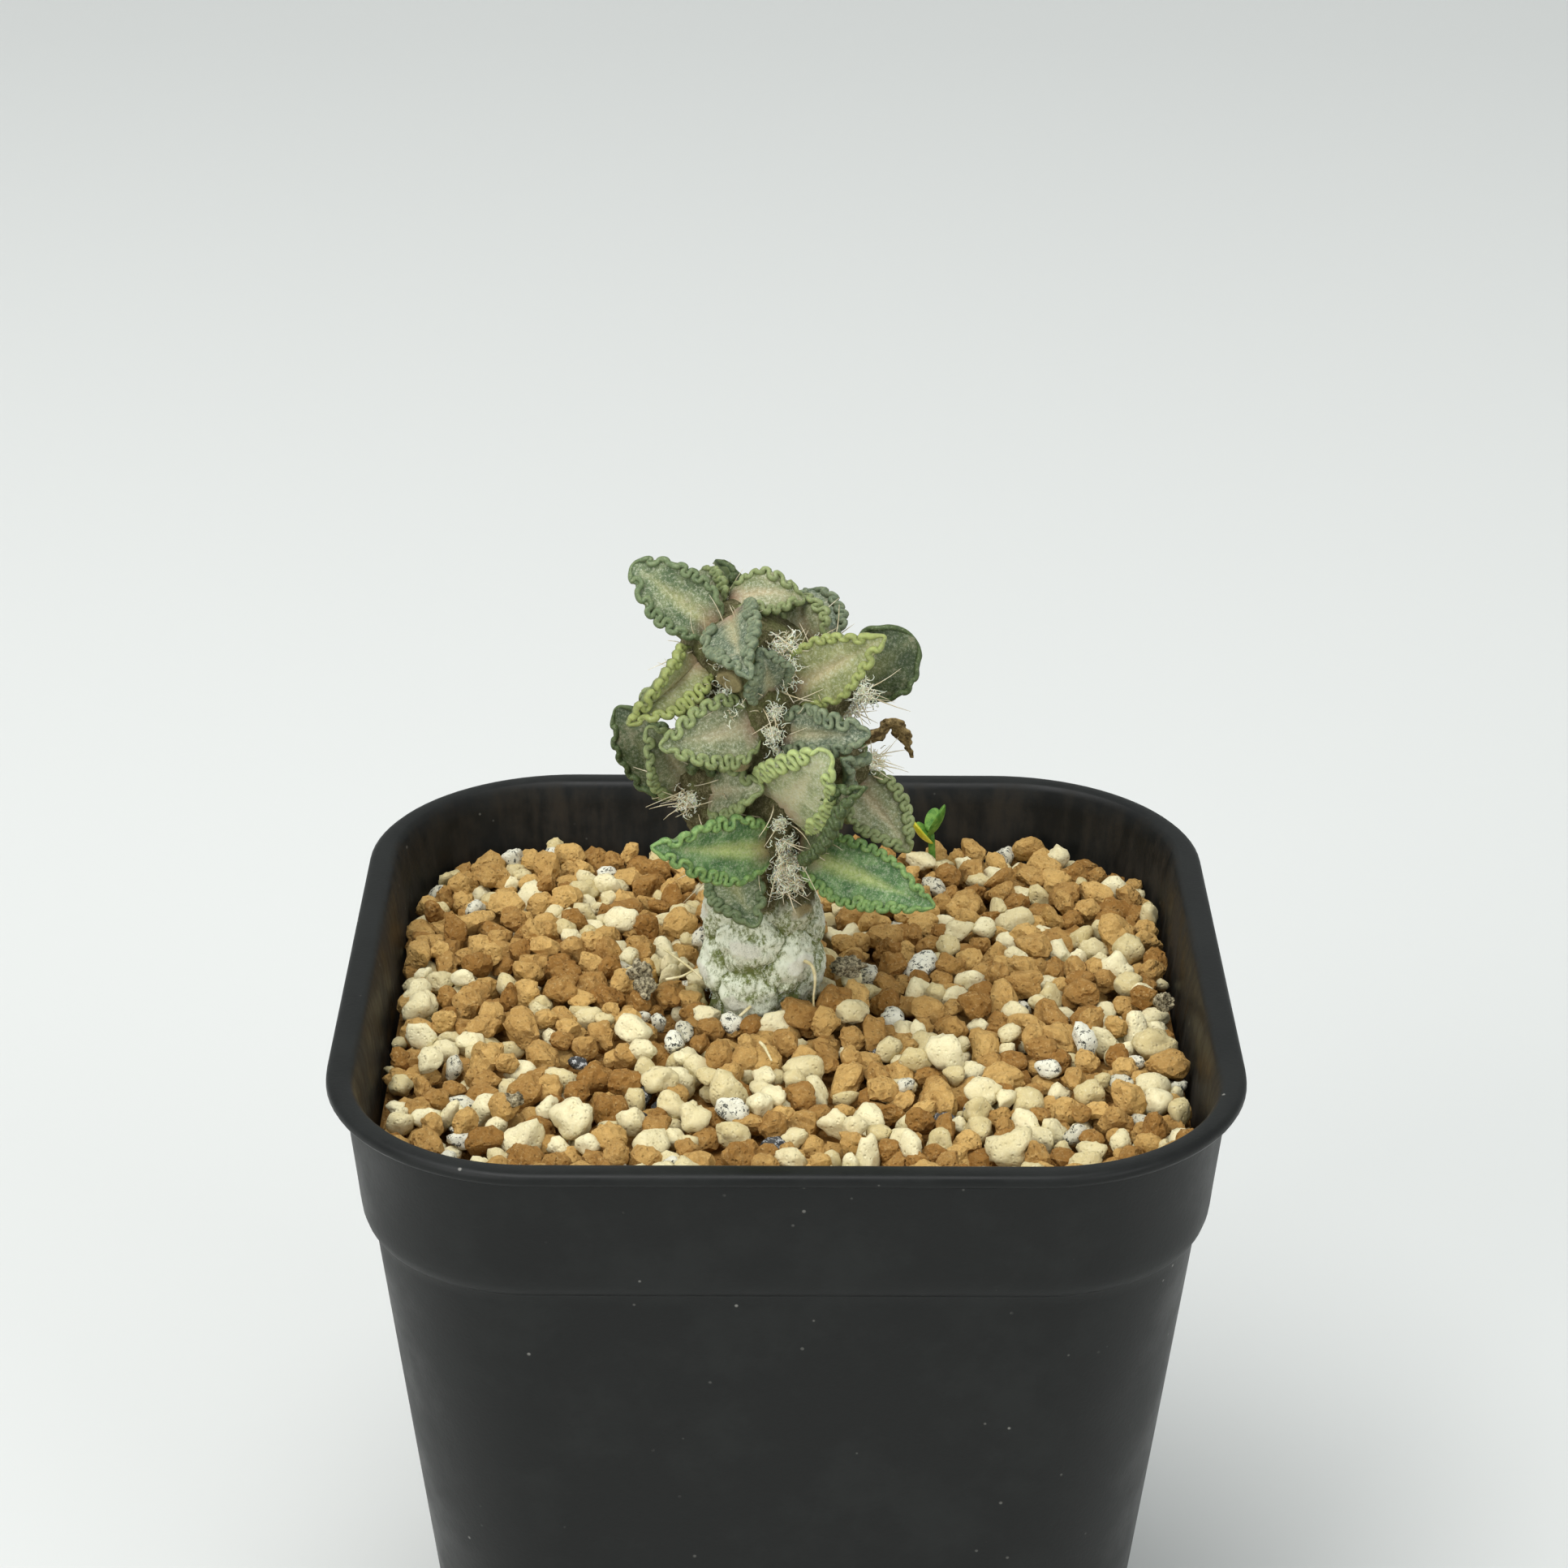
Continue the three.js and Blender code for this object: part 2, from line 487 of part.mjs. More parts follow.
const stemBody = makeStemBody(0);
const stemGrown = makeStemBody(LEAF_GAP);
const leafSolids = LEAVES.map((leaf) => largestOf(makeLeaf(leaf).subtract(stemGrown)));
place("pot", makePot(), plastic);
place("granule_bed", makeBed(), granules);
place("stem", addSpines(stemBody, leafSolids), bark);
leafSolids.forEach((solid, i) => place(`leaf_${String(i + 1).padStart(2, "0")}`, solid, foliage));
place("withered_leaf", largestOf(makeWitheredLeaf().subtract(stemGrown)), withered);
place("seedling", makeSeedling(), sprout);

export default part;
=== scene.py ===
"""Potted Euphorbia tulearensis: the looks of the pot, the granules, the stem and the crisped leaves."""
import logging
import math
from dataclasses import dataclass, field
from enum import Enum

import bpy
import numpy as np
from mathutils import Matrix, Vector


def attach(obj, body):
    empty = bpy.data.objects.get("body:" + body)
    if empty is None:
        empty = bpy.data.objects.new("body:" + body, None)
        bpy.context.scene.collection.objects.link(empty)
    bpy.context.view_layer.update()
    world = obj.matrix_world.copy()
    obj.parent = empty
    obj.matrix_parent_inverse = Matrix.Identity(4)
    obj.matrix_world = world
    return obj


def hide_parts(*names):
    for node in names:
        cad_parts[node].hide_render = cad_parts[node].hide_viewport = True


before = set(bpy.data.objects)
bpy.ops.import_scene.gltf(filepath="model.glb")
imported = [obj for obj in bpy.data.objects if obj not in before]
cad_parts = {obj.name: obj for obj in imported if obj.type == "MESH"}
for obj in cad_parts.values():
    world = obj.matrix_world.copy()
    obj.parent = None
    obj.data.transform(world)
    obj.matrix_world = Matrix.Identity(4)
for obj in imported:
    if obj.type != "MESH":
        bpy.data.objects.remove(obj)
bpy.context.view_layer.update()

LOG = logging.getLogger("potted_succulent")
MM = 0.001
RIM = 75.0
TAU = 2 * math.pi
Colour = tuple[float, float, float]


def smooth(values: np.ndarray, low: float, high: float) -> np.ndarray:
    """Soft step from 0 at low to 1 at high."""
    share = np.clip((values - low) / (high - low), 0.0, 1.0)
    return share * share * (3 - 2 * share)


def cell_noise(points: np.ndarray, size: float, seed: int) -> np.ndarray:
    """Smooth noise at points in space.

    Args:
        points: rows of x, y, z in millimetres.
        size: how far apart the bumps lie, in millimetres.
        seed: which of the patterns to read.

    Returns:
        One value from -1 to 1 for each point.
    """
    spots = points / size + 13.7 * seed
    base = np.floor(spots).astype(np.int64)
    part = spots - base
    part = part * part * (3 - 2 * part)
    total = np.zeros(len(points))
    for corner in range(8):
        step = np.array([corner & 1, (corner >> 1) & 1, corner >> 2])
        cell = (base + step) & 0xFFFF
        mixed = (cell[:, 0] * 73856093) ^ (cell[:, 1] * 19349663) ^ (cell[:, 2] * 83492791)
        mixed = ((mixed ^ (mixed >> 13)) * 1274126177) & 0x7FFFFFFF
        mixed = (mixed ^ (mixed >> 16)) & 0xFFFF
        share = np.prod(np.where(step == 1, part, 1 - part), axis=1)
        total += share * (mixed / 32767.5 - 1)
    return total


def fractal_noise(points: np.ndarray, size: float, octaves: int, seed: int) -> np.ndarray:
    """Sum of noises, each half the size and half the height of the one before.

    Args:
        points: rows of x, y, z in millimetres.
        size: how far apart the largest bumps lie.
        octaves: how many noises are added up.
        seed: which of the patterns to read.

    Returns:
        One value for each point, mostly from -1 to 1.
    """
    total = np.zeros(len(points))
    for octave in range(octaves):
        total += cell_noise(points, size / 2**octave, seed + octave) / 2**octave
    return total


def shown(red: float, green: float, blue: float) -> Colour:
    """Linear colour of the display colour with these values from 0 to 255."""
    return tuple((value / 255) ** 2.2 for value in (red, green, blue))


def unit(vectors: np.ndarray) -> np.ndarray:
    """The same directions, each one long."""
    return vectors / np.maximum(np.linalg.norm(vectors, axis=-1, keepdims=True), 1e-9)


def polar(turn: float, reach: float, height: float) -> np.ndarray:
    """Point at a turn in degrees round the Z axis, a reach from it, and a height."""
    angle = math.radians(turn)
    return np.array([reach * math.cos(angle), reach * math.sin(angle), height])


@dataclass
class Skin:
    """Mesh in millimetres: points, faces in blocks of one corner count, and values kept at the points."""

    points: np.ndarray
    faces: list[np.ndarray]
    values: dict[str, np.ndarray] = field(default_factory=dict)
    chipped: bool = False

    @classmethod
    def joined(cls, skins: list["Skin"]) -> "Skin":
        """One skin that holds several, which carry the same values.

        Args:
            skins: the skins to join.

        Returns:
            The joined skin, not chipped.
        """
        faces: list[np.ndarray] = []
        start = 0
        for skin in skins:
            faces += [block + start for block in skin.faces]
            start += len(skin.points)
        names = skins[0].values
        values = {name: np.concatenate([skin.values[name] for skin in skins]) for name in names}
        merged: dict[int, list[np.ndarray]] = {}
        for block in faces:
            merged.setdefault(block.shape[1], []).append(block)
        blocks = [np.concatenate(group) for group in merged.values()]
        return cls(np.concatenate([skin.points for skin in skins]), blocks, values)

    def piece(self, name: str, material: bpy.types.Material, slot: str, *nodes: str) -> bpy.types.Object:
        """Makes the object, dresses it and lets it ride on the part.

        Args:
            name: the piece's name.
            material: its finish.
            slot: the record's slot that the finish belongs to; not used.
            nodes: the solids that the piece stands for.

        Returns:
            The new object.
        """
        mesh = bpy.data.meshes.new(name)
        mesh.vertices.add(len(self.points))
        mesh.vertices.foreach_set("co", (self.points * MM).astype(np.float32).ravel())
        corners = np.concatenate([block.ravel() for block in self.faces]).astype(np.int32)
        counts = np.concatenate([np.full(len(block), block.shape[1]) for block in self.faces])
        mesh.loops.add(len(corners))
        mesh.loops.foreach_set("vertex_index", corners)
        mesh.polygons.add(len(counts))
        starts = np.concatenate([[0], np.cumsum(counts)[:-1]]).astype(np.int32)
        mesh.polygons.foreach_set("loop_start", starts)
        mesh.polygons.foreach_set("use_smooth", np.full(len(counts), not self.chipped))
        mesh.update(calc_edges=True)
        mesh.validate()
        for key, held in self.values.items():
            layer = mesh.attributes.new(key, "FLOAT", "POINT")
            layer.data.foreach_set("value", held.astype(np.float32))
        mesh.materials.append(material)
        made = bpy.data.objects.new(name, mesh)
        bpy.context.scene.collection.objects.link(made)
        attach(made, "root")
        if nodes:
            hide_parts(*nodes)
        LOG.info("%s: %d points, %d faces", name, len(self.points), len(counts))
        return made


def grid_faces(rows: int, columns: int, wrap: bool = False) -> np.ndarray:
    """Four-cornered faces of a grid of points.

    Args:
        rows: rows of points.
        columns: points in a row.
        wrap: whether each row closes on itself.

    Returns:
        Rows of four point numbers.
    """
    across = columns if wrap else columns - 1
    row, column = np.meshgrid(np.arange(rows - 1), np.arange(across), indexing="ij")
    after = (column + 1) % columns
    low, high = row * columns, (row + 1) * columns
    corners = [low + column, low + after, high + after, high + column]
    return np.stack([corner.ravel() for corner in corners], axis=1)


def fan_faces(ring_start: int, count: int, hub: int, flip: bool) -> np.ndarray:
    """Triangles from a ring of points to a hub.

    Args:
        ring_start: number of the ring's first point.
        count: points in the ring.
        hub: number of the hub's point.
        flip: whether the triangles face the other way.

    Returns:
        Rows of three point numbers.
    """
    first = ring_start + np.arange(count)
    second = ring_start + (np.arange(count) + 1) % count
    pair = [second, first] if flip else [first, second]
    return np.stack([*pair, np.full(count, hub)], axis=1)


def rod_faces(rows: int, around: int) -> list[np.ndarray]:
    """Faces of rings in a row, closed at both ends by hubs that come after the rings' points.

    Args:
        rows: how many rings there are.
        around: points in a ring.

    Returns:
        The sides' faces and the ends' faces.
    """
    total = rows * around
    first = fan_faces(0, around, total, flip=True)
    last = fan_faces(total - around, around, total + 1, flip=False)
    return [grid_faces(rows, around, wrap=True), np.concatenate([first, last])]


def eased_line(knots: np.ndarray, steps: int, rounds: int) -> np.ndarray:
    """Line of even steps through knots, with its corners eased.

    Args:
        knots: rows of x, y, z.
        steps: points of the line.
        rounds: how often each point moves towards its neighbours.

    Returns:
        Rows of x, y, z.
    """
    marks = np.linspace(0, 1, len(knots))
    share = np.linspace(0, 1, steps)
    line = np.stack([np.interp(share, marks, knots[:, axis]) for axis in range(3)], axis=1)
    for _ in range(rounds):
        line[1:-1] = (line[:-2] + line[1:-1] + line[2:]) / 3
    return line


def tube(path: np.ndarray, radius: np.ndarray, sides: int, flat: float = 1.0) -> Skin:
    """Round rod along a path, closed at its ends.

    Args:
        path: rows of points along the middle.
        radius: half-thickness at each point.
        sides: corners round the rod.
        flat: share of the radius kept in the second direction of the section.

    Returns:
        The rod's skin, with no values.
    """
    heading = unit(np.gradient(path, axis=0))
    first = np.cross(heading[0], [0.31, 0.52, 0.79])
    normals = [first / np.linalg.norm(first)]
    for direction in heading[1:]:
        carried = normals[-1] - direction * (normals[-1] @ direction)
        normals.append(carried / max(np.linalg.norm(carried), 1e-9))
    across = np.array(normals)
    second = np.cross(heading, across)
    angles = np.arange(sides) * TAU / sides
    ring = across[:, None] * np.cos(angles)[None, :, None]
    ring = ring + flat * second[:, None] * np.sin(angles)[None, :, None]
    points = (path[:, None] + radius[:, None, None] * ring).reshape(-1, 3)
    return Skin(np.concatenate([points, path[[0, -1]]]), rod_faces(len(path), sides))


def cord(path: np.ndarray, upward: np.ndarray, wide: np.ndarray, high: np.ndarray, sides: int) -> Skin:
    """Oval rod along a path that keeps one side up, closed at its ends.

    Args:
        path: rows of points along the middle.
        upward: direction that the rod's top faces.
        wide: half-width at each point.
        high: half-height at each point.
        sides: corners round the rod.

    Returns:
        The rod's skin, with no values.
    """
    heading = unit(np.gradient(path, axis=0))
    across = unit(np.cross(heading, upward))
    top = np.cross(across, heading)
    angles = np.arange(sides) * TAU / sides
    spread = across[:, None] * (wide[:, None] * np.cos(angles))[..., None]
    lift = top[:, None] * (high[:, None] * np.sin(angles))[..., None]
    points = (path[:, None] + spread + lift).reshape(-1, 3)
    return Skin(np.concatenate([points, path[[0, -1]]]), rod_faces(len(path), sides))


@dataclass(frozen=True)
class Value:
    """Number that varies over a surface, worked out by the shader and used in plain arithmetic."""

    paint: "Paint"
    socket: bpy.types.NodeSocket

    def __add__(self, other: "Value | float") -> "Value":
        """This plus other."""
        return self.paint.maths("ADD", self, other)

    __radd__ = __add__

    def __sub__(self, other: "Value | float") -> "Value":
        """This less other."""
        return self.paint.maths("SUBTRACT", self, other)

    def __rsub__(self, other: float) -> "Value":
        """Other less this."""
        return self.paint.maths("SUBTRACT", other, self)

    def __mul__(self, other: "Value | float") -> "Value":
        """This times other."""
        return self.paint.maths("MULTIPLY", self, other)

    __rmul__ = __mul__

    def __truediv__(self, other: "Value | float") -> "Value":
        """This over other."""
        return self.paint.maths("DIVIDE", self, other)

    def __abs__(self) -> "Value":
        """Size without sign."""
        return self.paint.maths("ABSOLUTE", self)

    def step(self, low: float, high: float) -> "Value":
        """Soft step of this value.

        Args:
            low: where the step is at 0.
            high: where the step is at 1; it may lie below low.

        Returns:
            The step, from 0 to 1.
        """
        ends = {"Value": self, "From Min": low, "From Max": high}
        made = self.paint.node("ShaderNodeMapRange", {"interpolation_type": "SMOOTHSTEP"}, ends)
        return Value(self.paint, made.outputs["Result"])


class Paint:
    """Material in the making: its nodes, and the surface shader that they feed."""

    def __init__(self, name: str) -> None:
        """Starts an empty material.

        Args:
            name: the material's name.
        """
        self.material = bpy.data.materials.new(name)
        self.material.use_nodes = True
        self.tree = self.material.node_tree
        self.tree.nodes.clear()
        self.shader = self.node("ShaderNodeBsdfPrincipled", {}, {})
        self.node("ShaderNodeOutputMaterial", {}, {"Surface": self.shader.outputs["BSDF"]})
        place = self.node("ShaderNodeTexCoord", {}, {})
        self.place = place.outputs["Object"]

    def node(self, kind: str, settings: dict[str, object], sockets: dict[object, object]) -> bpy.types.Node:
        """Adds one node.

        Args:
            kind: the node's type.
            settings: its options, set first.
            sockets: a value or a link for each input, by name or by number.

        Returns:
            The node.
        """
        made = self.tree.nodes.new(kind)
        for option, choice in settings.items():
            setattr(made, option, choice)
        for key, given in sockets.items():
            self.feed(made.inputs[key], given)
        return made

    def feed(self, entry: bpy.types.NodeSocket, given: object) -> None:
        """Feeds one input of a node.

        Args:
            entry: the input.
            given: a link, a value that varies, a number, a vector or a colour.
        """
        source = given.socket if isinstance(given, Value) else given
        if isinstance(source, bpy.types.NodeSocket):
            self.tree.links.new(source, entry)
        elif entry.type == "RGBA":
            entry.default_value = (*source, 1.0)
        else:
            entry.default_value = source

    def maths(self, operation: str, *values: "Value | float") -> Value:
        """Arithmetic on values."""
        made = self.node("ShaderNodeMath", {"operation": operation}, dict(enumerate(values)))
        return Value(self, made.outputs[0])

    def kept(self, name: str) -> Value:
        """Value kept at the mesh's points under this name."""
        made = self.node("ShaderNodeAttribute", {"attribute_name": name}, {})
        return Value(self, made.outputs["Fac"])

    def noise(self, size: float, detail: float, roughness: float, stretch: float = 1.0) -> Value:
        """Cloudy noise from 0 to 1.

        Args:
            size: how far apart its clouds lie, in millimetres.
            detail: how many finer layers it has.
            roughness: how strong the finer layers are.
            stretch: how much longer the clouds are upwards than sideways.

        Returns:
            The noise.
        """
        place: object = self.place
        if stretch != 1.0:
            scale = {0: self.place, 1: (1.0, 1.0, 1.0 / stretch)}
            place = self.node("ShaderNodeVectorMath", {"operation": "MULTIPLY"}, scale).outputs[0]
        sockets = {"Vector": place, "Scale": 1 / (size * MM), "Detail": detail, "Roughness": roughness}
        return Value(self, self.node("ShaderNodeTexNoise", {}, sockets).outputs["Fac"])

    def cells(self, size: float) -> Value:
        """Distance to the nearest of scattered spots, in cells of this size in millimetres."""
        made = self.node("ShaderNodeTexVoronoi", {}, {"Vector": self.place, "Scale": 1 / (size * MM)})
        return Value(self, made.outputs["Distance"])

    def mix(self, share: "Value | float", first: object, second: object) -> bpy.types.NodeSocket:
        """Colour between two.

        Args:
            share: share of the second colour, from 0 to 1.
            first: colour or link at share 0.
            second: colour or link at share 1.

        Returns:
            The mixed colour.
        """
        sockets = {0: share, 6: first, 7: second}
        made = self.node("ShaderNodeMix", {"data_type": "RGBA", "clamp_factor": True}, sockets)
        return made.outputs[2]

    def bump(self, height: Value, depth: float, strength: float = 1.0) -> bpy.types.NodeSocket:
        """Surface direction with a relief of this depth in millimetres."""
        sockets = {"Height": height, "Distance": depth * MM, "Strength": strength}
        return self.node("ShaderNodeBump", {}, sockets).outputs["Normal"]

    def finish(self, **sockets: object) -> bpy.types.Material:
        """Feeds the surface shader.

        Args:
            sockets: a value or a link for each input, with underscores for the spaces in its name.

        Returns:
            The finished material.
        """
        for key, given in sockets.items():
            self.feed(self.shader.inputs[key.replace("_", " ")], given)
        return self.material


@dataclass(frozen=True)
class BladeFinish:
    """Crisped leaf: mottled blade, pale rib, blushed foot, beaded margin, plain underside; painted shade on
    the cord's lower side and on the blade beside the cord.
    """

    name: str
    dark: Colour
    light: Colour
    rib: Colour
    margin: Colour
    foot: Colour = shown(150, 104, 92)
    under: Colour = shown(92, 104, 66)
    powder: Colour = shown(196, 198, 174)
    haze: Colour = shown(150, 140, 116)
    powdered: float = 0.6

    def material(self) -> bpy.types.Material:
        """Builds the leaf's material.

        Returns:
            The material, which reads how far a place lies aside, along and inside the blade.
        """
        paint = Paint(self.name)
        side, along, inset = paint.kept("side"), paint.kept("along"), paint.kept("inset")
        cord_top, under = paint.kept("cord"), paint.kept("under")
        patches = paint.noise(1.7, 4.0, 0.65)
        streaks = paint.noise(0.55, 4.0, 0.7)
        grains = paint.noise(0.24, 4.0, 0.85)
        blade = paint.mix((patches * 0.7 + streaks * 0.3).step(0.38, 0.62), self.dark, self.light)
        reach = 0.55 - 0.38 * along
        band = (1 - abs(side) / reach).step(0.0, 0.85)
        band = band * along.step(0.98, 0.4) * (0.35 + streaks)
        blade = paint.mix(band, blade, self.rib)
        blade = paint.mix(grains.step(0.47, 0.64) * self.powdered * (0.4 + patches), blade, self.powder)
        blade = paint.mix(patches.step(0.55, 0.70) * 0.35, blade, self.haze)
        blade = paint.mix(grains.step(0.50, 0.32) * 0.45, blade, self.dark)
        blush = along.step(0.26, 0.03) * abs(side).step(1.0, 0.2)
        blade = paint.mix(blush * 0.5, blade, self.foot)
        # Painted shade: the blade is darkened within about 0.75 mm of the margin, under and between the
        # cord's loops.
        painted_margin_shade = inset.step(0.75, 0.15) * 0.35
        blade = paint.mix(painted_margin_shade, blade, self.dark)
        veined = patches.step(0.3, 0.75) * 0.4 + grains.step(0.5, 0.7) * 0.2
        below = paint.mix(veined, self.under, self.light)
        blade = paint.mix(under, blade, below)
        stained = streaks.step(0.58, 0.40) * 0.5 + grains.step(0.50, 0.34) * 0.25
        edge = paint.mix(stained, self.margin, self.dark)
        edge = paint.mix(grains.step(0.52, 0.70) * 0.3, edge, self.powder)
        # Painted shade: the lower side of the cord is darkened towards the dark blade colour.
        edge = paint.mix(cord_top.step(0.62, 0.12) * 0.75, edge, self.dark)
        colour = paint.mix(cord_top.step(0.0, 0.02), blade, edge)
        relief = grains * 0.5 + streaks * 0.5
        rough = 0.50 + 0.22 * grains
        return paint.finish(
            Base_Color=colour,
            Roughness=rough,
            Normal=paint.bump(relief, 0.08, 0.7),
            Specular_IOR_Level=0.35,
            Subsurface_Weight=0.05,
            Subsurface_Scale=0.0005,
        )


@dataclass(frozen=True)
class BarkFinish:
    """Stem: green skin under flaking silver crust below, brown felt above, tan scars."""

    name: str = "stem_bark"
    skin: Colour = shown(122, 132, 76)
    crust: Colour = shown(238, 243, 219)
    felt: Colour = shown(74, 70, 44)
    fuzz: Colour = shown(150, 142, 108)
    scar: Colour = shown(180, 164, 118)
    chalk: Colour = shown(238, 236, 220)
    yellow: Colour = shown(190, 184, 84)

    def material(self) -> bpy.types.Material:
        """Builds the stem's material.

        Returns:
            The material, which reads the height over the rim, creases, bulges and scars.
        """
        paint = Paint(self.name)
        height, crease = paint.kept("height"), paint.kept("crease")
        bulge, scar = paint.kept("bulge"), paint.kept("scar")
        strands = paint.noise(0.34, 5.0, 0.8, 1.5)
        blots = paint.noise(1.9, 5.0, 0.7)
        fine = paint.noise(0.13, 4.0, 0.8)
        flaked = (strands * 0.75 + blots * 0.75 + bulge * 0.10 - crease * 0.10).step(0.68, 0.90)
        green = paint.mix(blots.step(0.60, 0.74) * 0.6, self.skin, self.yellow)
        green = paint.mix(fine.step(0.50, 0.34) * 0.5, green, self.felt)
        low = paint.mix(flaked * (0.70 + fine * 0.7), green, self.crust)
        high = paint.mix((strands * 0.7 + fine * 0.5).step(0.54, 0.82), self.felt, self.fuzz)
        high = paint.mix(blots.step(0.45, 0.7) * 0.4, high, self.skin)
        colour = paint.mix(height.step(0.35, 0.65), low, high)
        disc = paint.mix(height.step(0.25, 0.45), self.chalk, self.scar)
        disc = paint.mix(fine.step(0.5, 0.3) * 0.5, disc, self.felt)
        colour = paint.mix(scar * (0.35 + fine * 0.6), colour, disc)
        relief = strands * 0.6 + fine * 0.5
        return paint.finish(
            Base_Color=colour,
            Roughness=0.88 - 0.15 * flaked,
            Normal=paint.bump(relief, 0.22, 0.9),
            Specular_IOR_Level=0.25,
        )


@dataclass(frozen=True)
class GrainFinish:
    """Granules of one kind: a colour range that changes from grain to grain, pits and dust."""

    name: str
    dark: Colour
    light: Colour
    dust: Colour
    speck: Colour
    specks: float
    pit: float
    depth: float

    def material(self) -> bpy.types.Material:
        """Builds the granules' material.

        Returns:
            The material, which reads each grain's own tint.
        """
        paint = Paint(self.name)
        tint = paint.kept("tint")
        clouds = paint.noise(0.9, 4.0, 0.65)
        fine = paint.noise(0.36, 5.0, 0.85)
        pores = paint.cells(0.45)
        marks = paint.noise(0.45, 4.0, 0.75)
        colour = paint.mix((tint * 0.8 + clouds * 0.7 - 0.25).step(0.0, 1.0), self.dark, self.light)
        colour = paint.mix(fine.step(0.52, 0.72) * 0.6, colour, self.dust)
        colour = paint.mix(fine.step(0.48, 0.30) * 0.55, colour, self.dark)
        spots = marks.step(0.53, 0.60) * self.specks
        colour = paint.mix(spots, colour, self.speck)
        relief = clouds * 0.35 + fine * 0.65 + pores.step(0.0, 0.4) * self.pit
        return paint.finish(
            Base_Color=colour,
            Roughness=0.95,
            Normal=paint.bump(relief, self.depth, 0.9),
            Specular_IOR_Level=0.15,
        )


@dataclass(frozen=True)
class PlasticFinish:
    """Pot: satin black plastic, faintly mottled, scuffed and dusty."""

    name: str = "black_plastic"
    body: Colour = (0.0062, 0.0069, 0.0064)
    worn: Colour = (0.0105, 0.0116, 0.0108)
    dust: Colour = (0.30, 0.29, 0.26)
    soil: Colour = (0.035, 0.027, 0.017)

    def material(self) -> bpy.types.Material:
        """Builds the plastic's material.

        Returns:
            The material, which reads whether a place lies inside the pot.
        """
        paint = Paint(self.name)
        inside = paint.kept("inside")
        blots = paint.noise(7.0, 5.0, 0.62)
        streaks = paint.noise(1.6, 4.0, 0.6, 5.0)
        fine = paint.noise(0.35, 3.0, 0.6)
        specks = paint.cells(2.6)
        colour = paint.mix(blots.step(0.42, 0.68), self.body, self.worn)
        dusty = specks.step(0.075, 0.03) * blots.step(0.42, 0.58)
        colour = paint.mix(dusty * 0.6, colour, self.dust)
        grime = inside * (streaks * 0.7 + blots * 0.5).step(0.50, 0.78)
        colour = paint.mix(grime * 0.6, colour, self.soil)
        rough = 0.38 + 0.14 * blots.step(0.3, 0.7) + 0.3 * grime
        return paint.finish(
            Base_Color=colour,
            Roughness=rough,
            Normal=paint.bump(fine * 0.4 + blots * 0.6, 0.10, 0.35),
            Specular_IOR_Level=0.22,
        )


@dataclass(frozen=True)
class PlainFinish:
    """Small piece of two colours, clouded together, with a fine relief."""

    name: str
    first: Colour
    second: Colour
    roughness: float = 0.8
    size: float = 0.8
    depth: float = 0.1
    glow: float = 0.0

    def material(self) -> bpy.types.Material:
        """Builds the material.

        Returns:
            The material, clouded from the first colour to the second.
        """
        paint = Paint(self.name)
        clouds = paint.noise(self.size, 4.0, 0.7)
        colour = paint.mix(clouds.step(0.35, 0.68), self.first, self.second)
        return paint.finish(
            Base_Color=colour,
            Roughness=self.roughness,
            Normal=paint.bump(clouds, self.depth, 0.8),
            Specular_IOR_Level=0.25,
            Subsurface_Weight=self.glow,
            Subsurface_Scale=0.001,
        )


class Tone(Enum):
    """The leaves' colourings."""

    OLIVE = BladeFinish(
        name="leaf_olive",
        dark=shown(91, 101, 66),
        light=shown(136, 139, 104),
        rib=shown(166, 157, 123),
        margin=shown(132, 144, 93),
    )
    DARK = BladeFinish(
        name="leaf_dark",
        dark=shown(64, 100, 56),
        light=shown(114, 148, 92),
        rib=shown(176, 188, 114),
        margin=shown(126, 156, 90),
        powdered=0.45,
    )
    FRESH = BladeFinish(
        name="leaf_fresh",
        dark=shown(119, 125, 77),
        light=shown(156, 157, 107),
        rib=shown(179, 165, 124),
        margin=shown(147, 157, 90),
    )
    GREY = BladeFinish(
        name="leaf_grey",
        dark=shown(68, 83, 65),
        light=shown(115, 125, 99),
        rib=shown(161, 155, 117),
        margin=shown(117, 127, 98),
    )
    SAGE = BladeFinish(
        name="leaf_sage",
        dark=shown(71, 89, 58),
        light=shown(118, 129, 91),
        rib=shown(157, 157, 109),
        margin=shown(109, 123, 86),
    )
    MUTED = BladeFinish(
        name="leaf_muted",
        dark=shown(101, 109, 72),
        light=shown(146, 146, 109),
        rib=shown(167, 152, 118),
        margin=shown(131, 142, 94),
    )
    # Darker copy of the leaf colours for the leaves that lie deepest in shade: partly their darker colour,
    # partly painted shade.
    SHADE = BladeFinish(
        name="leaf_shade",
        dark=shown(46, 59, 32),
        light=shown(72, 83, 50),
        rib=shown(94, 99, 62),
        margin=shown(80, 94, 56),
        powdered=0.25,
    )
    POWDERY = BladeFinish(
        name="leaf_powdery",
        dark=shown(126, 137, 94),
        light=shown(182, 186, 145),
        rib=shown(204, 198, 159),
        margin=shown(163, 177, 110),
        powdered=1.0,
    )


AXIS_HEIGHTS = (-20.0, -6.0, 10.0, 18.0, 26.0, 32.0)
AXIS_X = (-2.2, -2.2, -1.8, -1.8, -3.0, -4.6)
AXIS_Y = (3.5, 3.5, 3.5, 3.5, 3.4, 3.0)


def axis_at(height: np.ndarray) -> np.ndarray:
    """Middle of the stem at heights over the rim, as rows of x and y."""
    columns = [np.interp(height, AXIS_HEIGHTS, line) for line in (AXIS_X, AXIS_Y)]
    return np.stack(columns, axis=-1)


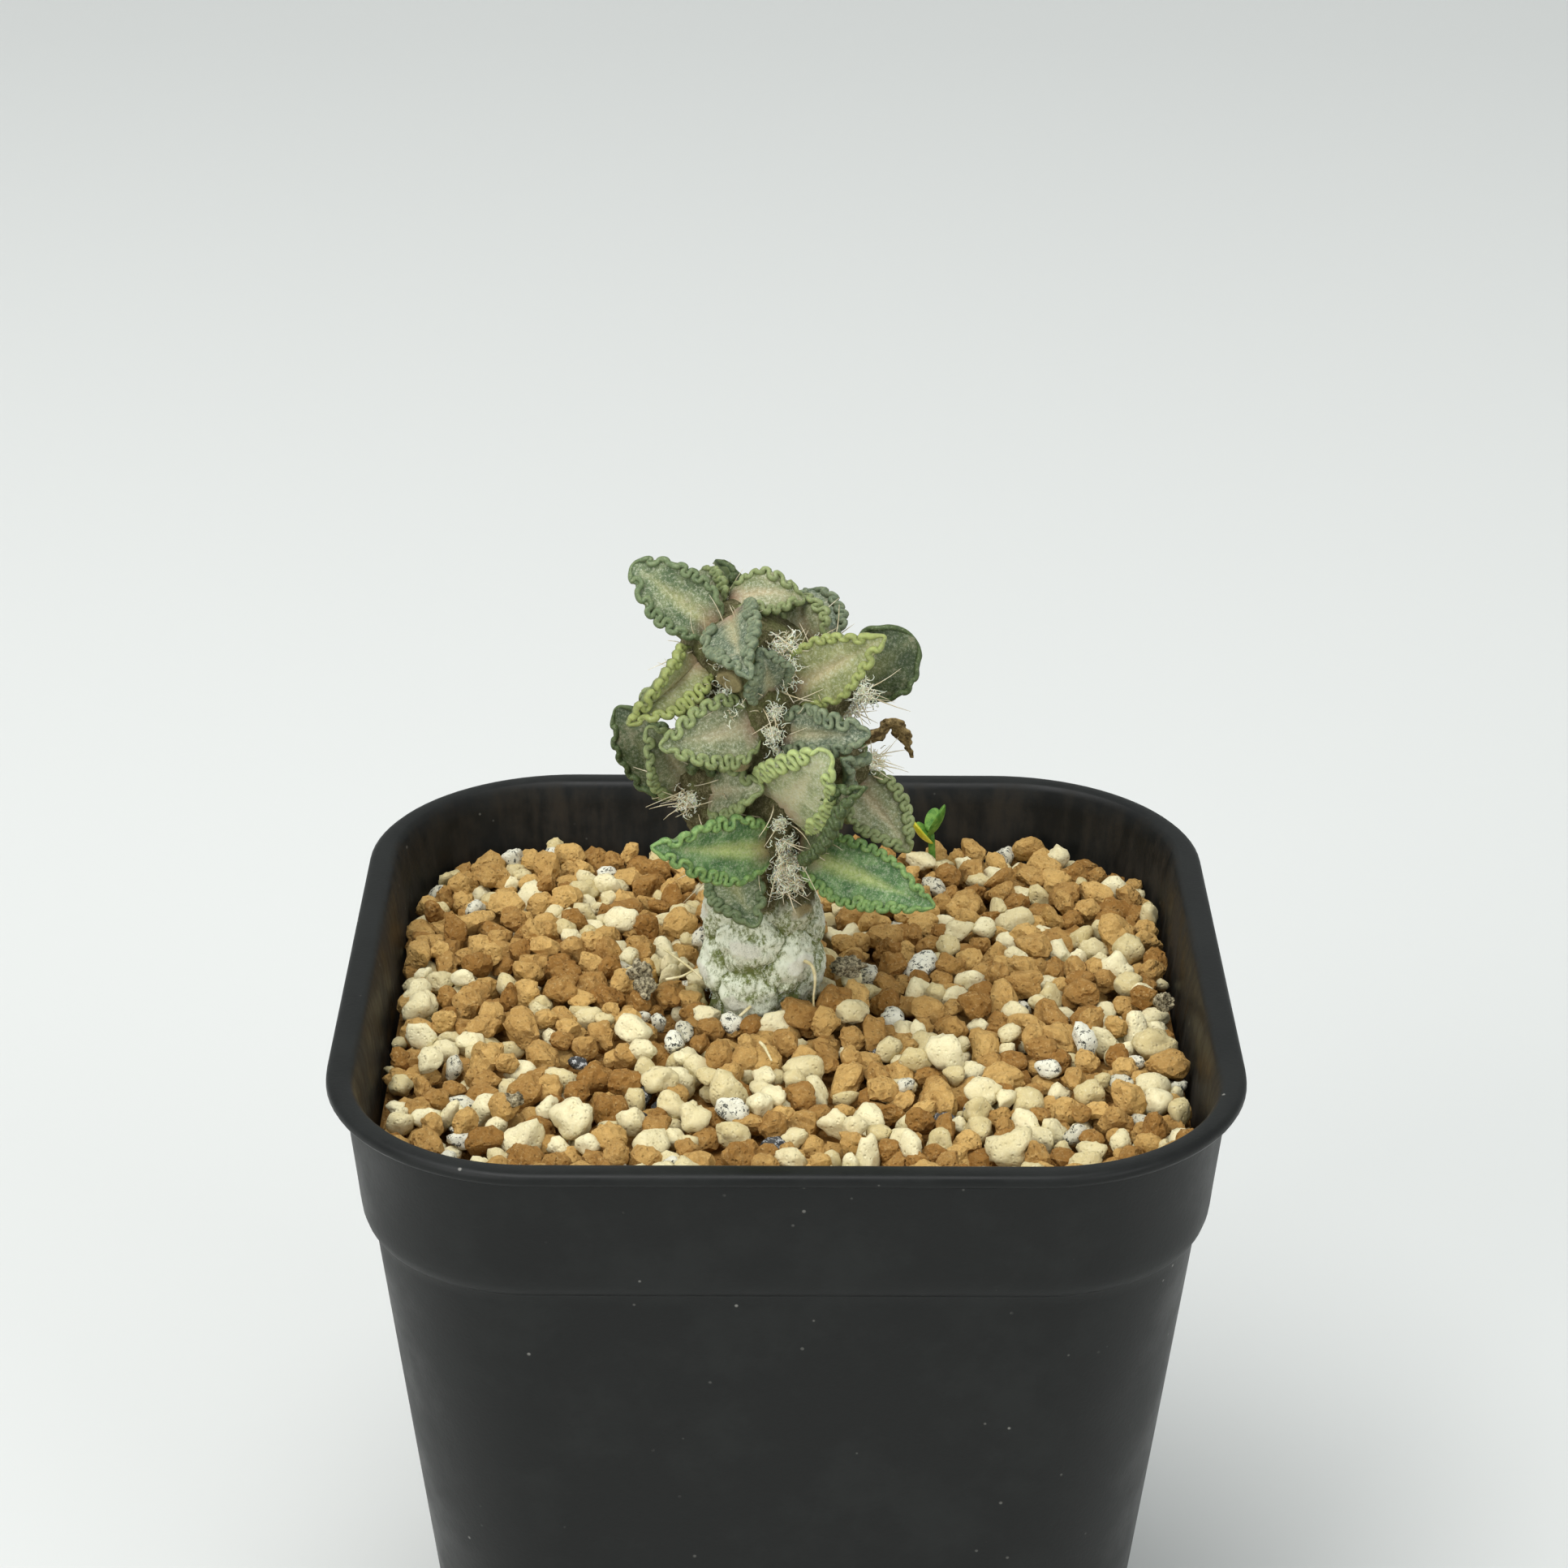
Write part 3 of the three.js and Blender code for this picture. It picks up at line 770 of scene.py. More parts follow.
@dataclass(frozen=True)
class Swelling:
    """Bulge of the stem's surface, at a turn in degrees and a height over the rim."""

    turn: float
    height: float
    rise: float
    breadth: float

    def raised(self, turn: np.ndarray, height: np.ndarray, girth: np.ndarray) -> np.ndarray:
        """Its rise at places on the stem.

        Args:
            turn: turns in degrees.
            height: heights over the rim.
            girth: the stem's half-width there.

        Returns:
            The rise in millimetres.
        """
        aside = (turn - self.turn + 900) % 360 - 180
        away = np.hypot(np.radians(aside) * girth, height - self.height) / self.breadth
        return self.rise * np.exp(-(away**2))


@dataclass
class Stem:
    """Thick warty stem: crusted foot of overlapping swellings, felted shoulders, side shoots and scars."""

    finish: BarkFinish = BarkFinish()
    around: int = 236
    up: int = 272
    bottom: float = -12.0
    top: float = 31.6
    golden_turn: float = 137.5
    warts: int = 40
    wart_from: float = -4.0
    wart_step: float = 0.85
    wart_rise: float = 0.9
    wart_breadth: float = 1.7
    foot_girth: float = 5.0
    scale_wide: float = 3.5
    scale_above: float = 3.4
    scale_below: float = 2.5
    disc_wide: float = 1.35
    disc_high: float = 0.68
    bulge_rise: float = 0.9
    crease_depth: float = 0.16
    lump_depth: float = 0.24
    ridge_depth: float = 0.26
    levels: tuple[float, ...] = (-20, -6.5, -5, -2, 4, 8, 12, 17, 23, 27, 29.5, 31, 31.6)
    girths: tuple[float, ...] = (4.7, 4.7, 4.5, 4.9, 4.4, 4.6, 5.7, 6.3, 6.2, 5.0, 3.6, 2.0, 0.4)
    columns: tuple[tuple[float, float], ...] = (
        (-109, -4.1),
        (-53, -0.9),
        (4, -3.4),
        (62, -0.9),
        (120, -4.3),
        (-166, -2.2),
    )
    column_step: float = 5.15
    shoots: tuple[Swelling, ...] = (
        Swelling(5, 25, 3.0, 3.5),
        Swelling(-28, 17.5, 2.6, 3.2),
        Swelling(-160, 14, 2.0, 3.2),
        Swelling(-75, 24, 1.0, 2.5),
        Swelling(-78, 12.5, 1.2, 2.5),
        Swelling(-138, 28.5, 0.8, 2.2),
    )
    scars: tuple[Swelling, ...] = (
        Swelling(-106, 26.6, 0.5, 1.25),
        Swelling(-107, 19.6, 0.45, 1.0),
        Swelling(60, 9.0, 0.5, 1.2),
        Swelling(140, 11.5, 0.5, 1.2),
        Swelling(100, 18.0, 0.45, 1.0),
        Swelling(10, 12.5, 0.5, 1.1),
        Swelling(175, 24.5, 0.45, 1.0),
    )

    def reach(self, turn: np.ndarray, height: np.ndarray) -> np.ndarray:
        """Half-width of the stem, with its warts and shoots.

        Args:
            turn: turns in degrees.
            height: heights over the rim.

        Returns:
            The half-width in millimetres.
        """
        girth = np.interp(height, self.levels, self.girths)
        rise = np.zeros_like(girth)
        wart_size = (self.wart_rise, self.wart_breadth)
        for count in range(self.warts):
            wart = Swelling(count * self.golden_turn, self.wart_from + count * self.wart_step, *wart_size)
            rise = np.maximum(rise, wart.raised(turn, height, girth))
        shoot = np.zeros_like(girth)
        for swelling in self.shoots:
            shoot = np.maximum(shoot, swelling.raised(turn, height, girth))
        return girth + rise + shoot

    def foot_relief(self, turn: np.ndarray, height: np.ndarray) -> tuple[np.ndarray, ...]:
        """The foot's overlapping swellings.

        Args:
            turn: turns in degrees.
            height: heights over the rim.

        Returns:
            How far each place bulges from 0 to 1, how near it is to a crease, and how much it is scar.
        """
        angle = np.radians(turn)
        across, back = self.foot_girth * np.cos(angle), self.foot_girth * np.sin(angle)
        around = np.stack([across, back, height], axis=1)
        shift = 0.75 * fractal_noise(around, 2.6, 3, 31)
        sag = 0.6 * fractal_noise(around, 2.2, 3, 35)
        best = np.full_like(turn, -1.0)
        second = np.full_like(turn, -1.0)
        scar = np.zeros_like(turn)
        for middle_turn, first in self.columns:
            for level in range(3):
                middle = first + level * self.column_step
                aside = np.radians((turn - middle_turn + 900) % 360 - 180) * self.foot_girth + shift
                above = height - middle + sag
                high = np.where(above > 0, self.scale_above, self.scale_below)
                away = np.hypot(aside / self.scale_wide, above / high)
                bulge = 1 - away**2.4
                second = np.maximum(second, np.minimum(best, bulge))
                best = np.maximum(best, bulge)
                oval = np.hypot(aside / self.disc_wide, (above - 0.15) / self.disc_high)
                scar = np.maximum(scar, 1 - smooth(oval, 0.8, 1.15))
        return np.clip(best, 0, 1), 1 - smooth(best - second, 0.0, 0.20), scar

    def spot(self, turn: float, height: float, lift: float = 0.0) -> np.ndarray:
        """Point on the stem's surface.

        Args:
            turn: turn in degrees.
            height: height over the rim.
            lift: how far over the surface it lies.

        Returns:
            The point.
        """
        reach = self.reach(np.array([turn]), np.array([height]))[0] + lift
        x, y = axis_at(np.array([height]))[0]
        return polar(turn, reach, RIM + height) + [x, y, 0]

    def outward(self, turn: float, height: float) -> np.ndarray:
        """Direction that the surface faces.

        Args:
            turn: turn in degrees.
            height: height over the rim.

        Returns:
            The direction, one long.
        """
        step = 0.4
        ahead = self.spot(turn + 5, height) - self.spot(turn - 5, height)
        above = min(height + step, self.top)
        rise = self.spot(turn, above) - self.spot(turn, height - step)
        facing = np.cross(ahead, rise)
        return facing / np.linalg.norm(facing)

    def build(self) -> None:
        """Makes the stem."""
        turns = np.arange(self.around) * 360 / self.around
        share = np.linspace(0, 1, self.up)
        spacing = 0.75 * share**1.15 + 0.25 * (1 - (1 - share) ** 2.0)
        heights = self.bottom + (self.top - self.bottom) * spacing
        height, turn = np.meshgrid(heights, turns, indexing="ij")
        height, turn = height.ravel(), turn.ravel()
        girth = np.interp(height, self.levels, self.girths)
        bulge, crease, chalk = self.foot_relief(turn, height)
        low = 1 - smooth(height, 5.0, 7.5)
        foot = girth - 0.1 + self.bulge_rise * bulge - self.crease_depth * crease
        reach = self.reach(turn, height) * (1 - low) + foot * low
        crease, chalk, bulge = crease * low, chalk * low, bulge * low
        angle = np.radians(turn)
        around = np.stack([np.cos(angle), np.sin(angle)], axis=1)
        middle = axis_at(height)
        at = np.column_stack([middle + around * reach[:, None], height + RIM])
        lumps = fractal_noise(at, 2.0, 3, 3)
        ridges = np.abs(fractal_noise(at * [1.0, 1.0, 0.6], 0.7, 3, 9))
        closing = smooth(self.top - height, 0.0, 1.2)
        dish = chalk * 0.12 - 0.3 * smooth(chalk, 0.75, 1.0)
        scar = chalk.copy()
        for mark in self.scars:
            rise = mark.raised(turn, (height - mark.height) * 1.5 + mark.height, reach) / mark.rise
            scar = np.maximum(scar, smooth(rise, 0.36, 0.46))
            dish = np.maximum(dish, mark.rise * (smooth(rise, 0.25, 0.5) - 0.55 * smooth(rise, 0.55, 0.8)))
        rough = self.lump_depth * lumps * (1 - 0.6 * scar) - self.ridge_depth * ridges * (1 - 0.7 * scar)
        reach = reach + closing * (rough + dish)
        points = np.column_stack([middle + around * reach[:, None], height + RIM])
        ends = np.array([[*axis_at(np.array([h]))[0], RIM + h] for h in (self.bottom, self.top + 0.05)])
        values = {
            "height": np.append(smooth(height + 1.2 * lumps, 0.5, 9.0), [0.0, 1.0]),
            "crease": np.append(crease, [0.0, 0.0]),
            "bulge": np.append(bulge, [0.0, 0.0]),
            "scar": np.append(scar, [0.0, 0.0]),
        }
        skin = Skin(np.concatenate([points, ends]), rod_faces(self.up, self.around), values)
        skin.piece("stem_skin", self.finish.material(), "stem_bark", "stem")


@dataclass(frozen=True)
class Leaf:
    """Fleshy leaf whose margin is one beaded cord that runs in tight loops.

    turn and height say where it leaves the stem, tip where it ends; roll turns its face about its
    own length, fold lifts both halves, right and left lift one half further, and arch bows it.
    loop is the distance between the cord's loops and frill their depth; point makes the tip more
    acute and widest moves the widest place towards it. lanes are the columns of each half, from
    the rib to the margin. The cords of leaves that start behind back_from are made of fewer faces.
    """

    turn: float
    height: float
    tip: tuple[float, float, float]
    width: float
    roll: float
    fold: float
    arch: float
    tone: Tone
    loop: float = 1.08
    frill: float = 0.8
    point: float = 0.95
    widest: float = 0.82
    right: float = 0.0
    left: float = 0.0
    droop: float = 0.4
    bead: float = 0.25
    root_depth: float = 0.9
    row_step: float = 0.13
    fewest_rows: int = 40
    thickness: float = 0.98
    thinning: float = 0.62
    above_middle: float = 0.42
    below_middle: float = 0.58
    groove: float = 0.14
    wave: float = 0.26
    lanes: tuple[float, ...] = (0.0, 0.13, 0.28, 0.43, 0.57, 0.69, 0.79, 0.87, 0.94, 1.0)
    back_from: float = 3.5
    front_cord: tuple[float, int] = (0.05, 8)
    back_cord: tuple[float, int] = (0.075, 6)

    def frame(self, stem: Stem) -> tuple[np.ndarray, np.ndarray, np.ndarray, np.ndarray, float]:
        """How the leaf lies on its stem.

        Args:
            stem: what the leaf grows from.

        Returns:
            Its root, its direction, the direction that it faces, its side and its length.
        """
        root = stem.spot(self.turn, self.height, -self.root_depth)
        end = np.array(self.tip) + [0, 0, RIM]
        length = float(np.linalg.norm(end - root))
        ahead = (end - root) / length
        face = np.array([0.0, 0.0, 1.0]) - ahead * ahead[2]
        face = Vector(face / np.linalg.norm(face))
        face.rotate(Matrix.Rotation(math.radians(self.roll), 3, Vector(ahead)))
        face = np.array(face)
        return root, ahead, face, np.cross(ahead, face), length

    def half_width(self, along: np.ndarray) -> np.ndarray:
        """Half-width of the blade at shares of its length."""
        body = np.sin(math.pi * np.clip(along, 0, 1) ** self.widest) ** self.point
        return self.width / 2 * (0.04 + 0.26 * (1 - along) ** 1.5 + 0.86 * body)

    def sheet(
        self, stem: Stem, along: np.ndarray, across: np.ndarray, lift: np.ndarray, seed: int
    ) -> np.ndarray:
        """Points on the blade without its frill, or a lift over it.

        Args:
            stem: what the leaf grows from.
            along: shares of the length.
            across: from -1 to 1, margin to margin.
            lift: heights over the middle of the blade's thickness.
            seed: which waves the blade has.

        Returns:
            One point for each place.
        """
        root, ahead, face, side, length = self.frame(stem)
        sign = np.sign(across)
        extra = np.where(sign > 0, self.right, self.left) * smooth(along, 0.05, 0.35)
        slope = np.radians(self.fold + extra)
        reach = np.abs(across) * self.half_width(along)
        wave = smooth(along, 0.05, 0.3) * across**2 * smooth(1 - along, 0.0, 0.2)
        lift = lift + self.wave * wave * np.sin(TAU * (1.6 * along + 0.13 * seed) + sign)
        groove = -self.groove * np.exp(-((reach / 0.3) ** 2)) * smooth(1 - along, 0.05, 0.5)
        out = sign * (reach * np.cos(slope) - lift * np.sin(slope))
        rise = reach * np.sin(slope) + lift * np.cos(slope) + groove
        bow = self.arch * 4 * along * (1 - along)
        rise = rise + bow - self.droop * np.maximum(along - 0.7, 0) ** 2 * 11
        on = (along * length)[..., None] * ahead
        return root + on + out[..., None] * side + rise[..., None] * face

    def loops(
        self, along: np.ndarray, sign: np.ndarray, length: float, seed: int
    ) -> tuple[np.ndarray, np.ndarray]:
        """Phase of the cord's loops and their depth in millimetres.

        Args:
            along: shares of the length.
            sign: which margin, 1 or -1.
            length: the leaf's length.
            seed: which loops the margin makes.

        Returns:
            The phase, outermost at whole turns, and the depth.
        """
        track = np.stack([along * length, 6.3 * sign + 3.1 * seed, np.full_like(along, 0.7)], axis=-1)
        flat = track.reshape(-1, 3)
        drift = fractal_noise(flat, 2.4, 2, seed).reshape(along.shape)
        swell = fractal_noise(flat, 2.0, 2, seed + 40).reshape(along.shape)
        phase = TAU * (along * length / self.loop + 0.40 * drift) + seed * 1.7 + 2.1 * sign
        calm = smooth(along, 0.04, 0.2) * smooth(1 - along, 0.0, 0.16)
        room = np.minimum(self.half_width(along) * 0.62, self.frill * np.clip(1 + 0.75 * swell, 0.3, 1.6))
        return phase, room * calm

    def build(self, stem: Stem, number: int, material: bpy.types.Material) -> None:
        """Makes the leaf.

        Args:
            stem: what the leaf grows from.
            number: number of the solid that it stands for.
            material: its finish.
        """
        length = self.frame(stem)[4]
        blade = self.blade(stem, length, number)
        name = f"leaf_{number:02d}"
        whole = Skin.joined([blade, self.margin(stem, length, number)])
        whole.piece(f"{name}_blade", material, "leaf_blade", name)

    def blade(self, stem: Stem, length: float, number: int) -> Skin:
        """The blade, an upper and a lower sheet joined round their edge.

        Args:
            stem: what the leaf grows from.
            length: the leaf's length.
            number: the leaf's number, which seeds its waves.

        Returns:
            The blade's skin.
        """
        rows = max(int(length / self.row_step), self.fewest_rows)
        lanes = np.array(self.lanes)
        columns = np.concatenate([-lanes[:0:-1], lanes])
        along, across = np.meshgrid(np.linspace(0, 1, rows), columns, indexing="ij")
        sign = np.sign(across)
        phase, depth = self.loops(along, sign, length, number)
        inward = 0.5 - 0.5 * np.cos(phase)
        inset = (1 - np.abs(across)) * self.half_width(along)
        close = np.exp(-((inset / 0.5) ** 2))
        near = np.exp(-((inset / 1.1) ** 2))
        pulled = np.abs(across) - close * 0.42 * depth * inward / np.maximum(self.half_width(along), 0.2)
        lift = close * depth * 0.42 * inward + near * depth * 0.14 * (inward - 0.5)
        middle = self.sheet(stem, along, sign * np.maximum(pulled, 0), lift, number)
        normal = unit(np.cross(np.gradient(middle, axis=0), np.gradient(middle, axis=1)))
        if (normal * self.frame(stem)[2]).sum() < 0:
            normal = -normal
        thick = self.thickness - self.thinning * np.abs(across) ** 1.6
        thick = thick * (0.5 + 0.5 * smooth(1 - along, 0, 0.35))
        bumps = fractal_noise(middle.reshape(-1, 3), 1.0, 2, number).reshape(along.shape) * 0.045
        upper = middle + normal * (self.above_middle * thick + bumps)[..., None]
        lower = middle - normal * (self.below_middle * thick)[..., None]
        count = rows * len(columns)
        sheet = grid_faces(rows, len(columns))
        numbers = np.arange(count).reshape(rows, len(columns))
        rim = np.concatenate([numbers[:, 0], numbers[-1, 1:], numbers[-2::-1, -1], numbers[0, -2:0:-1]])
        wall = np.stack([rim, np.roll(rim, -1), np.roll(rim, -1) + count, rim + count], axis=1)
        flat = {"side": across.ravel(), "along": along.ravel(), "inset": inset.ravel()}
        values = {key: np.concatenate([held, held]) for key, held in flat.items()}
        values["cord"] = np.zeros(2 * count)
        values["under"] = np.repeat([0.0, 1.0], count)
        points = np.concatenate([upper.reshape(-1, 3), lower.reshape(-1, 3)])
        return Skin(points, [np.concatenate([sheet, sheet[:, ::-1] + count, wall])], values)

    def margin(self, stem: Stem, length: float, number: int) -> Skin:
        """The beaded margin, one looping cord from the foot round the tip to the foot.

        Args:
            stem: what the leaf grows from.
            length: the leaf's length.
            number: the leaf's number, which seeds its loops.

        Returns:
            The cord's skin.
        """
        behind = self.frame(stem)[0][1] > self.back_from
        step, sides = self.back_cord if behind else self.front_cord
        rows = int(length / step)
        there = np.linspace(0.02, 1, rows)
        along = np.concatenate([there, there[-2::-1]])
        sign = np.concatenate([np.ones(rows), -np.ones(rows - 1)])
        phase, depth = self.loops(along, sign, length, number)
        inward = 0.5 - 0.5 * np.cos(phase)
        shift = 0.135 * np.minimum(depth / 0.6, 1.1) * np.sin(2 * phase)
        half = self.half_width(along)
        across = sign * np.maximum(1 - (0.06 + depth * inward) / np.maximum(half, 0.15), 0.02)
        lift = 0.08 + 0.12 * smooth(depth, 0.0, 0.5) + 0.30 * depth * inward
        path = self.sheet(stem, np.clip(along + shift / length, 0, 1.02), across, lift, number)
        path[1:-1] = (path[:-2] + 2 * path[1:-1] + path[2:]) / 4
        above = self.sheet(stem, along, across, lift + 0.5, number)
        above = above - self.sheet(stem, along, across, lift, number)
        lumps = fractal_noise(path, 0.8, 2, number + 7)
        slim = (0.4 + 0.6 * smooth(along, 0.0, 0.12)) * (0.55 + 0.45 * smooth(1 - along, 0.0, 0.10))
        radius = (self.bead + 0.035 * lumps) * slim
        rod = cord(path, above, radius, radius * 1.35, sides)
        ends = [along[0], along[-1]]
        held = np.append(np.repeat(along, sides), ends)
        angle = np.tile(np.arange(sides) * TAU / sides, len(path))
        rod.values = {
            "side": np.append(np.repeat(sign, sides), [1.0, -1.0]),
            "along": held,
            "inset": np.zeros(len(held)),
            # Height round the cord's section, highest on its top; the material paints shade on the cord's
            # lower side from it.
            "cord": np.append(0.55 + 0.45 * np.sin(angle), [0.5, 0.5]),
            "under": np.zeros(len(held)),
        }
        return rod


LEAVES = (
    Leaf(-135, 30.0, (-12.9, 3.1, 34.85), 5.7, -60, 12, 0.4, Tone.SAGE, 1.3, 0.68, 0.58, 0.98),
    Leaf(105, 29.4, (-5.8, 8.4, 33.2), 3.6, 55, 20, 0.4, Tone.SHADE, 1.2, 0.2, 0.6, 1.2),
    Leaf(165, 30.6, (-7.4, 7.0, 32.8), 4.6, -40, 20, 0.4, Tone.OLIVE, 0.8, 0.7, 0.7),
    Leaf(120, 31.1, (1.4, 3.9, 31.5), 4.6, 34, 8, 1.0, Tone.MUTED, 1.0, 0.75, 0.7, 0.9),
    Leaf(0, 27.6, (1.2, 5.6, 31.2), 5.6, -50, 10, 0.5, Tone.MUTED, 1.0, 0.7, 0.62),
    Leaf(22, 26.6, (1.9, 10.5, 29.8), 5.2, 0, 12, 0.5, Tone.GREY, 1.0, 0.6, 0.65),
    Leaf(-96, 30.9, (-3.2, -8.4, 29.8), 5.8, 38, 12, 0.5, Tone.GREY, 1.05, 0.75, 0.85, 0.75),
    Leaf(-52, 25.2, (7.8, -4.2, 31.4), 5.6, 85, 10, 0.3, Tone.FRESH, 1.15, 0.45, 0.82, 0.85),
    Leaf(-78, 25.6, (-2.2, -5.2, 30.6), 4.6, -140, 12, 0.3, Tone.GREY, 0.8, 0.5, 0.75),
    Leaf(-90, 22.8, (-10.4, -6.0, 22.4), 6.2, -65, 10, 0.4, Tone.OLIVE, 1.12, 0.85, 0.8),
    Leaf(-71, 22.2, (6.6, -6.5, 23.8), 4.7, 75, 12, 0.4, Tone.GREY, 1.1, 0.85, 0.62),
    Leaf(-76, 15.2, (3.2, -8.6, 22.9), 7.6, 120, 6, 0.5, Tone.POWDERY, 1.12, 0.95, 0.58, 0.74),
    Leaf(-60, 11.6, (6.0, -10.8, 20.9), 6.0, 88, 18, 0.3, Tone.SHADE, 1.2, 0.85, 0.95, 0.66),
    Leaf(-85, 11.4, (-11.0, -8.9, 14.5), 6.0, -86, 10, 0.4, Tone.DARK, 1.3, 0.7, 0.78, 0.8),
    Leaf(-52, 10.2, (12.3, -6.0, 7.8), 5.8, 60, 10, 0.6, Tone.DARK, 0.95, 0.6, 0.8, 0.88),
    Leaf(-145, 27.4, (-13.2, -4.0, 23.6), 5.8, -45, 16, 0.6, Tone.FRESH, 1.0, 0.85, 0.8, 0.85, 52),
    Leaf(-172, 14.2, (-14.4, 3.4, 21.6), 6.2, -90, -12, 0.6, Tone.SHADE, 1.5, 0.4, 0.65),
    Leaf(-163, 15.6, (-11.5, -1.6, 22.0), 5.4, -110, 12, 0.4, Tone.OLIVE, 1.0, 0.6, 0.7),
    Leaf(-148, 18.1, (-7.4, -5.1, 20.8), 2.4, 180, 25, 0.2, Tone.SHADE, 0.9, 0.2, 0.7),
    Leaf(-138, 15.6, (-2.2, -4.6, 18.0), 5.0, 70, 12, 0.4, Tone.OLIVE, 1.0, 0.75, 0.62),
    Leaf(-140, 7.6, (-2.6, -4.4, 5.2), 5.2, 30, 12, 0.6, Tone.SAGE, 0.9, 0.7, 0.6, 0.85),
    Leaf(-20, 16.4, (10.4, -2.0, 11.0), 5.4, 45, 14, 0.6, Tone.MUTED, 0.92, 0.8, 0.75),
    Leaf(-32, 18.2, (4.8, -7.6, 21.8), 3.6, -120, 25, 0.2, Tone.GREY, 0.9, 0.3, 0.7),
    Leaf(2, 23.6, (10.6, 4.0, 27.9), 6.6, 70, -12, 0.6, Tone.SHADE, 1.6, 0.3, 0.58, 1.1),
    Leaf(37, 20.0, (9.0, 11.6, 22.0), 5.6, -30, 12, 0.6, Tone.OLIVE, point=0.75),
    Leaf(76, 25.0, (-1.0, 14.4, 27.4), 5.8, 0, 12, 0.6, Tone.FRESH, point=0.75),
    Leaf(108, 20.6, (-8.6, 13.6, 23.0), 6.0, 45, 12, 0.6, Tone.DARK, point=0.7),
    Leaf(146, 25.6, (-10.6, 10.5, 27.0), 5.6, 20, 12, 0.6, Tone.OLIVE, point=0.8),
    Leaf(172, 20.4, (-12.4, 8.2, 20.6), 5.4, 25, 12, 0.6, Tone.MUTED, point=0.7),
    Leaf(135, 13.4, (-11.2, 11.0, 15.0), 5.6, 30, 12, 0.6, Tone.DARK, point=0.75),
    Leaf(92, 14.6, (-2.4, 15.0, 18.2), 6.0, 10, 12, 0.6, Tone.GREY, point=0.7),
    Leaf(36, 13.0, (6.8, 11.6, 14.6), 5.6, -35, 12, 0.6, Tone.DARK, point=0.75),
    Leaf(80, 19.6, (4.2, 14.4, 20.2), 5.6, -35, 12, 0.6, Tone.OLIVE, point=0.8),
    Leaf(104, 10.0, (-9.4, 12.2, 8.6), 5.6, 60, 10, 0.5, Tone.DARK, point=0.75),
    Leaf(62, 9.6, (8.0, 12.2, 7.8), 5.4, -60, 10, 0.5, Tone.OLIVE, point=0.7),
    Leaf(118, 27.6, (-7.0, 12.4, 29.0), 5.2, 15, 12, 0.5, Tone.GREY, point=0.7),
)


@dataclass(frozen=True)
class Tuft:
    """Growing point: a pad of off-white wool with straight bristles round it."""

    turn: float
    height: float
    size: float
    hairs: int
    bristles: int
    wisp: float = 1.0


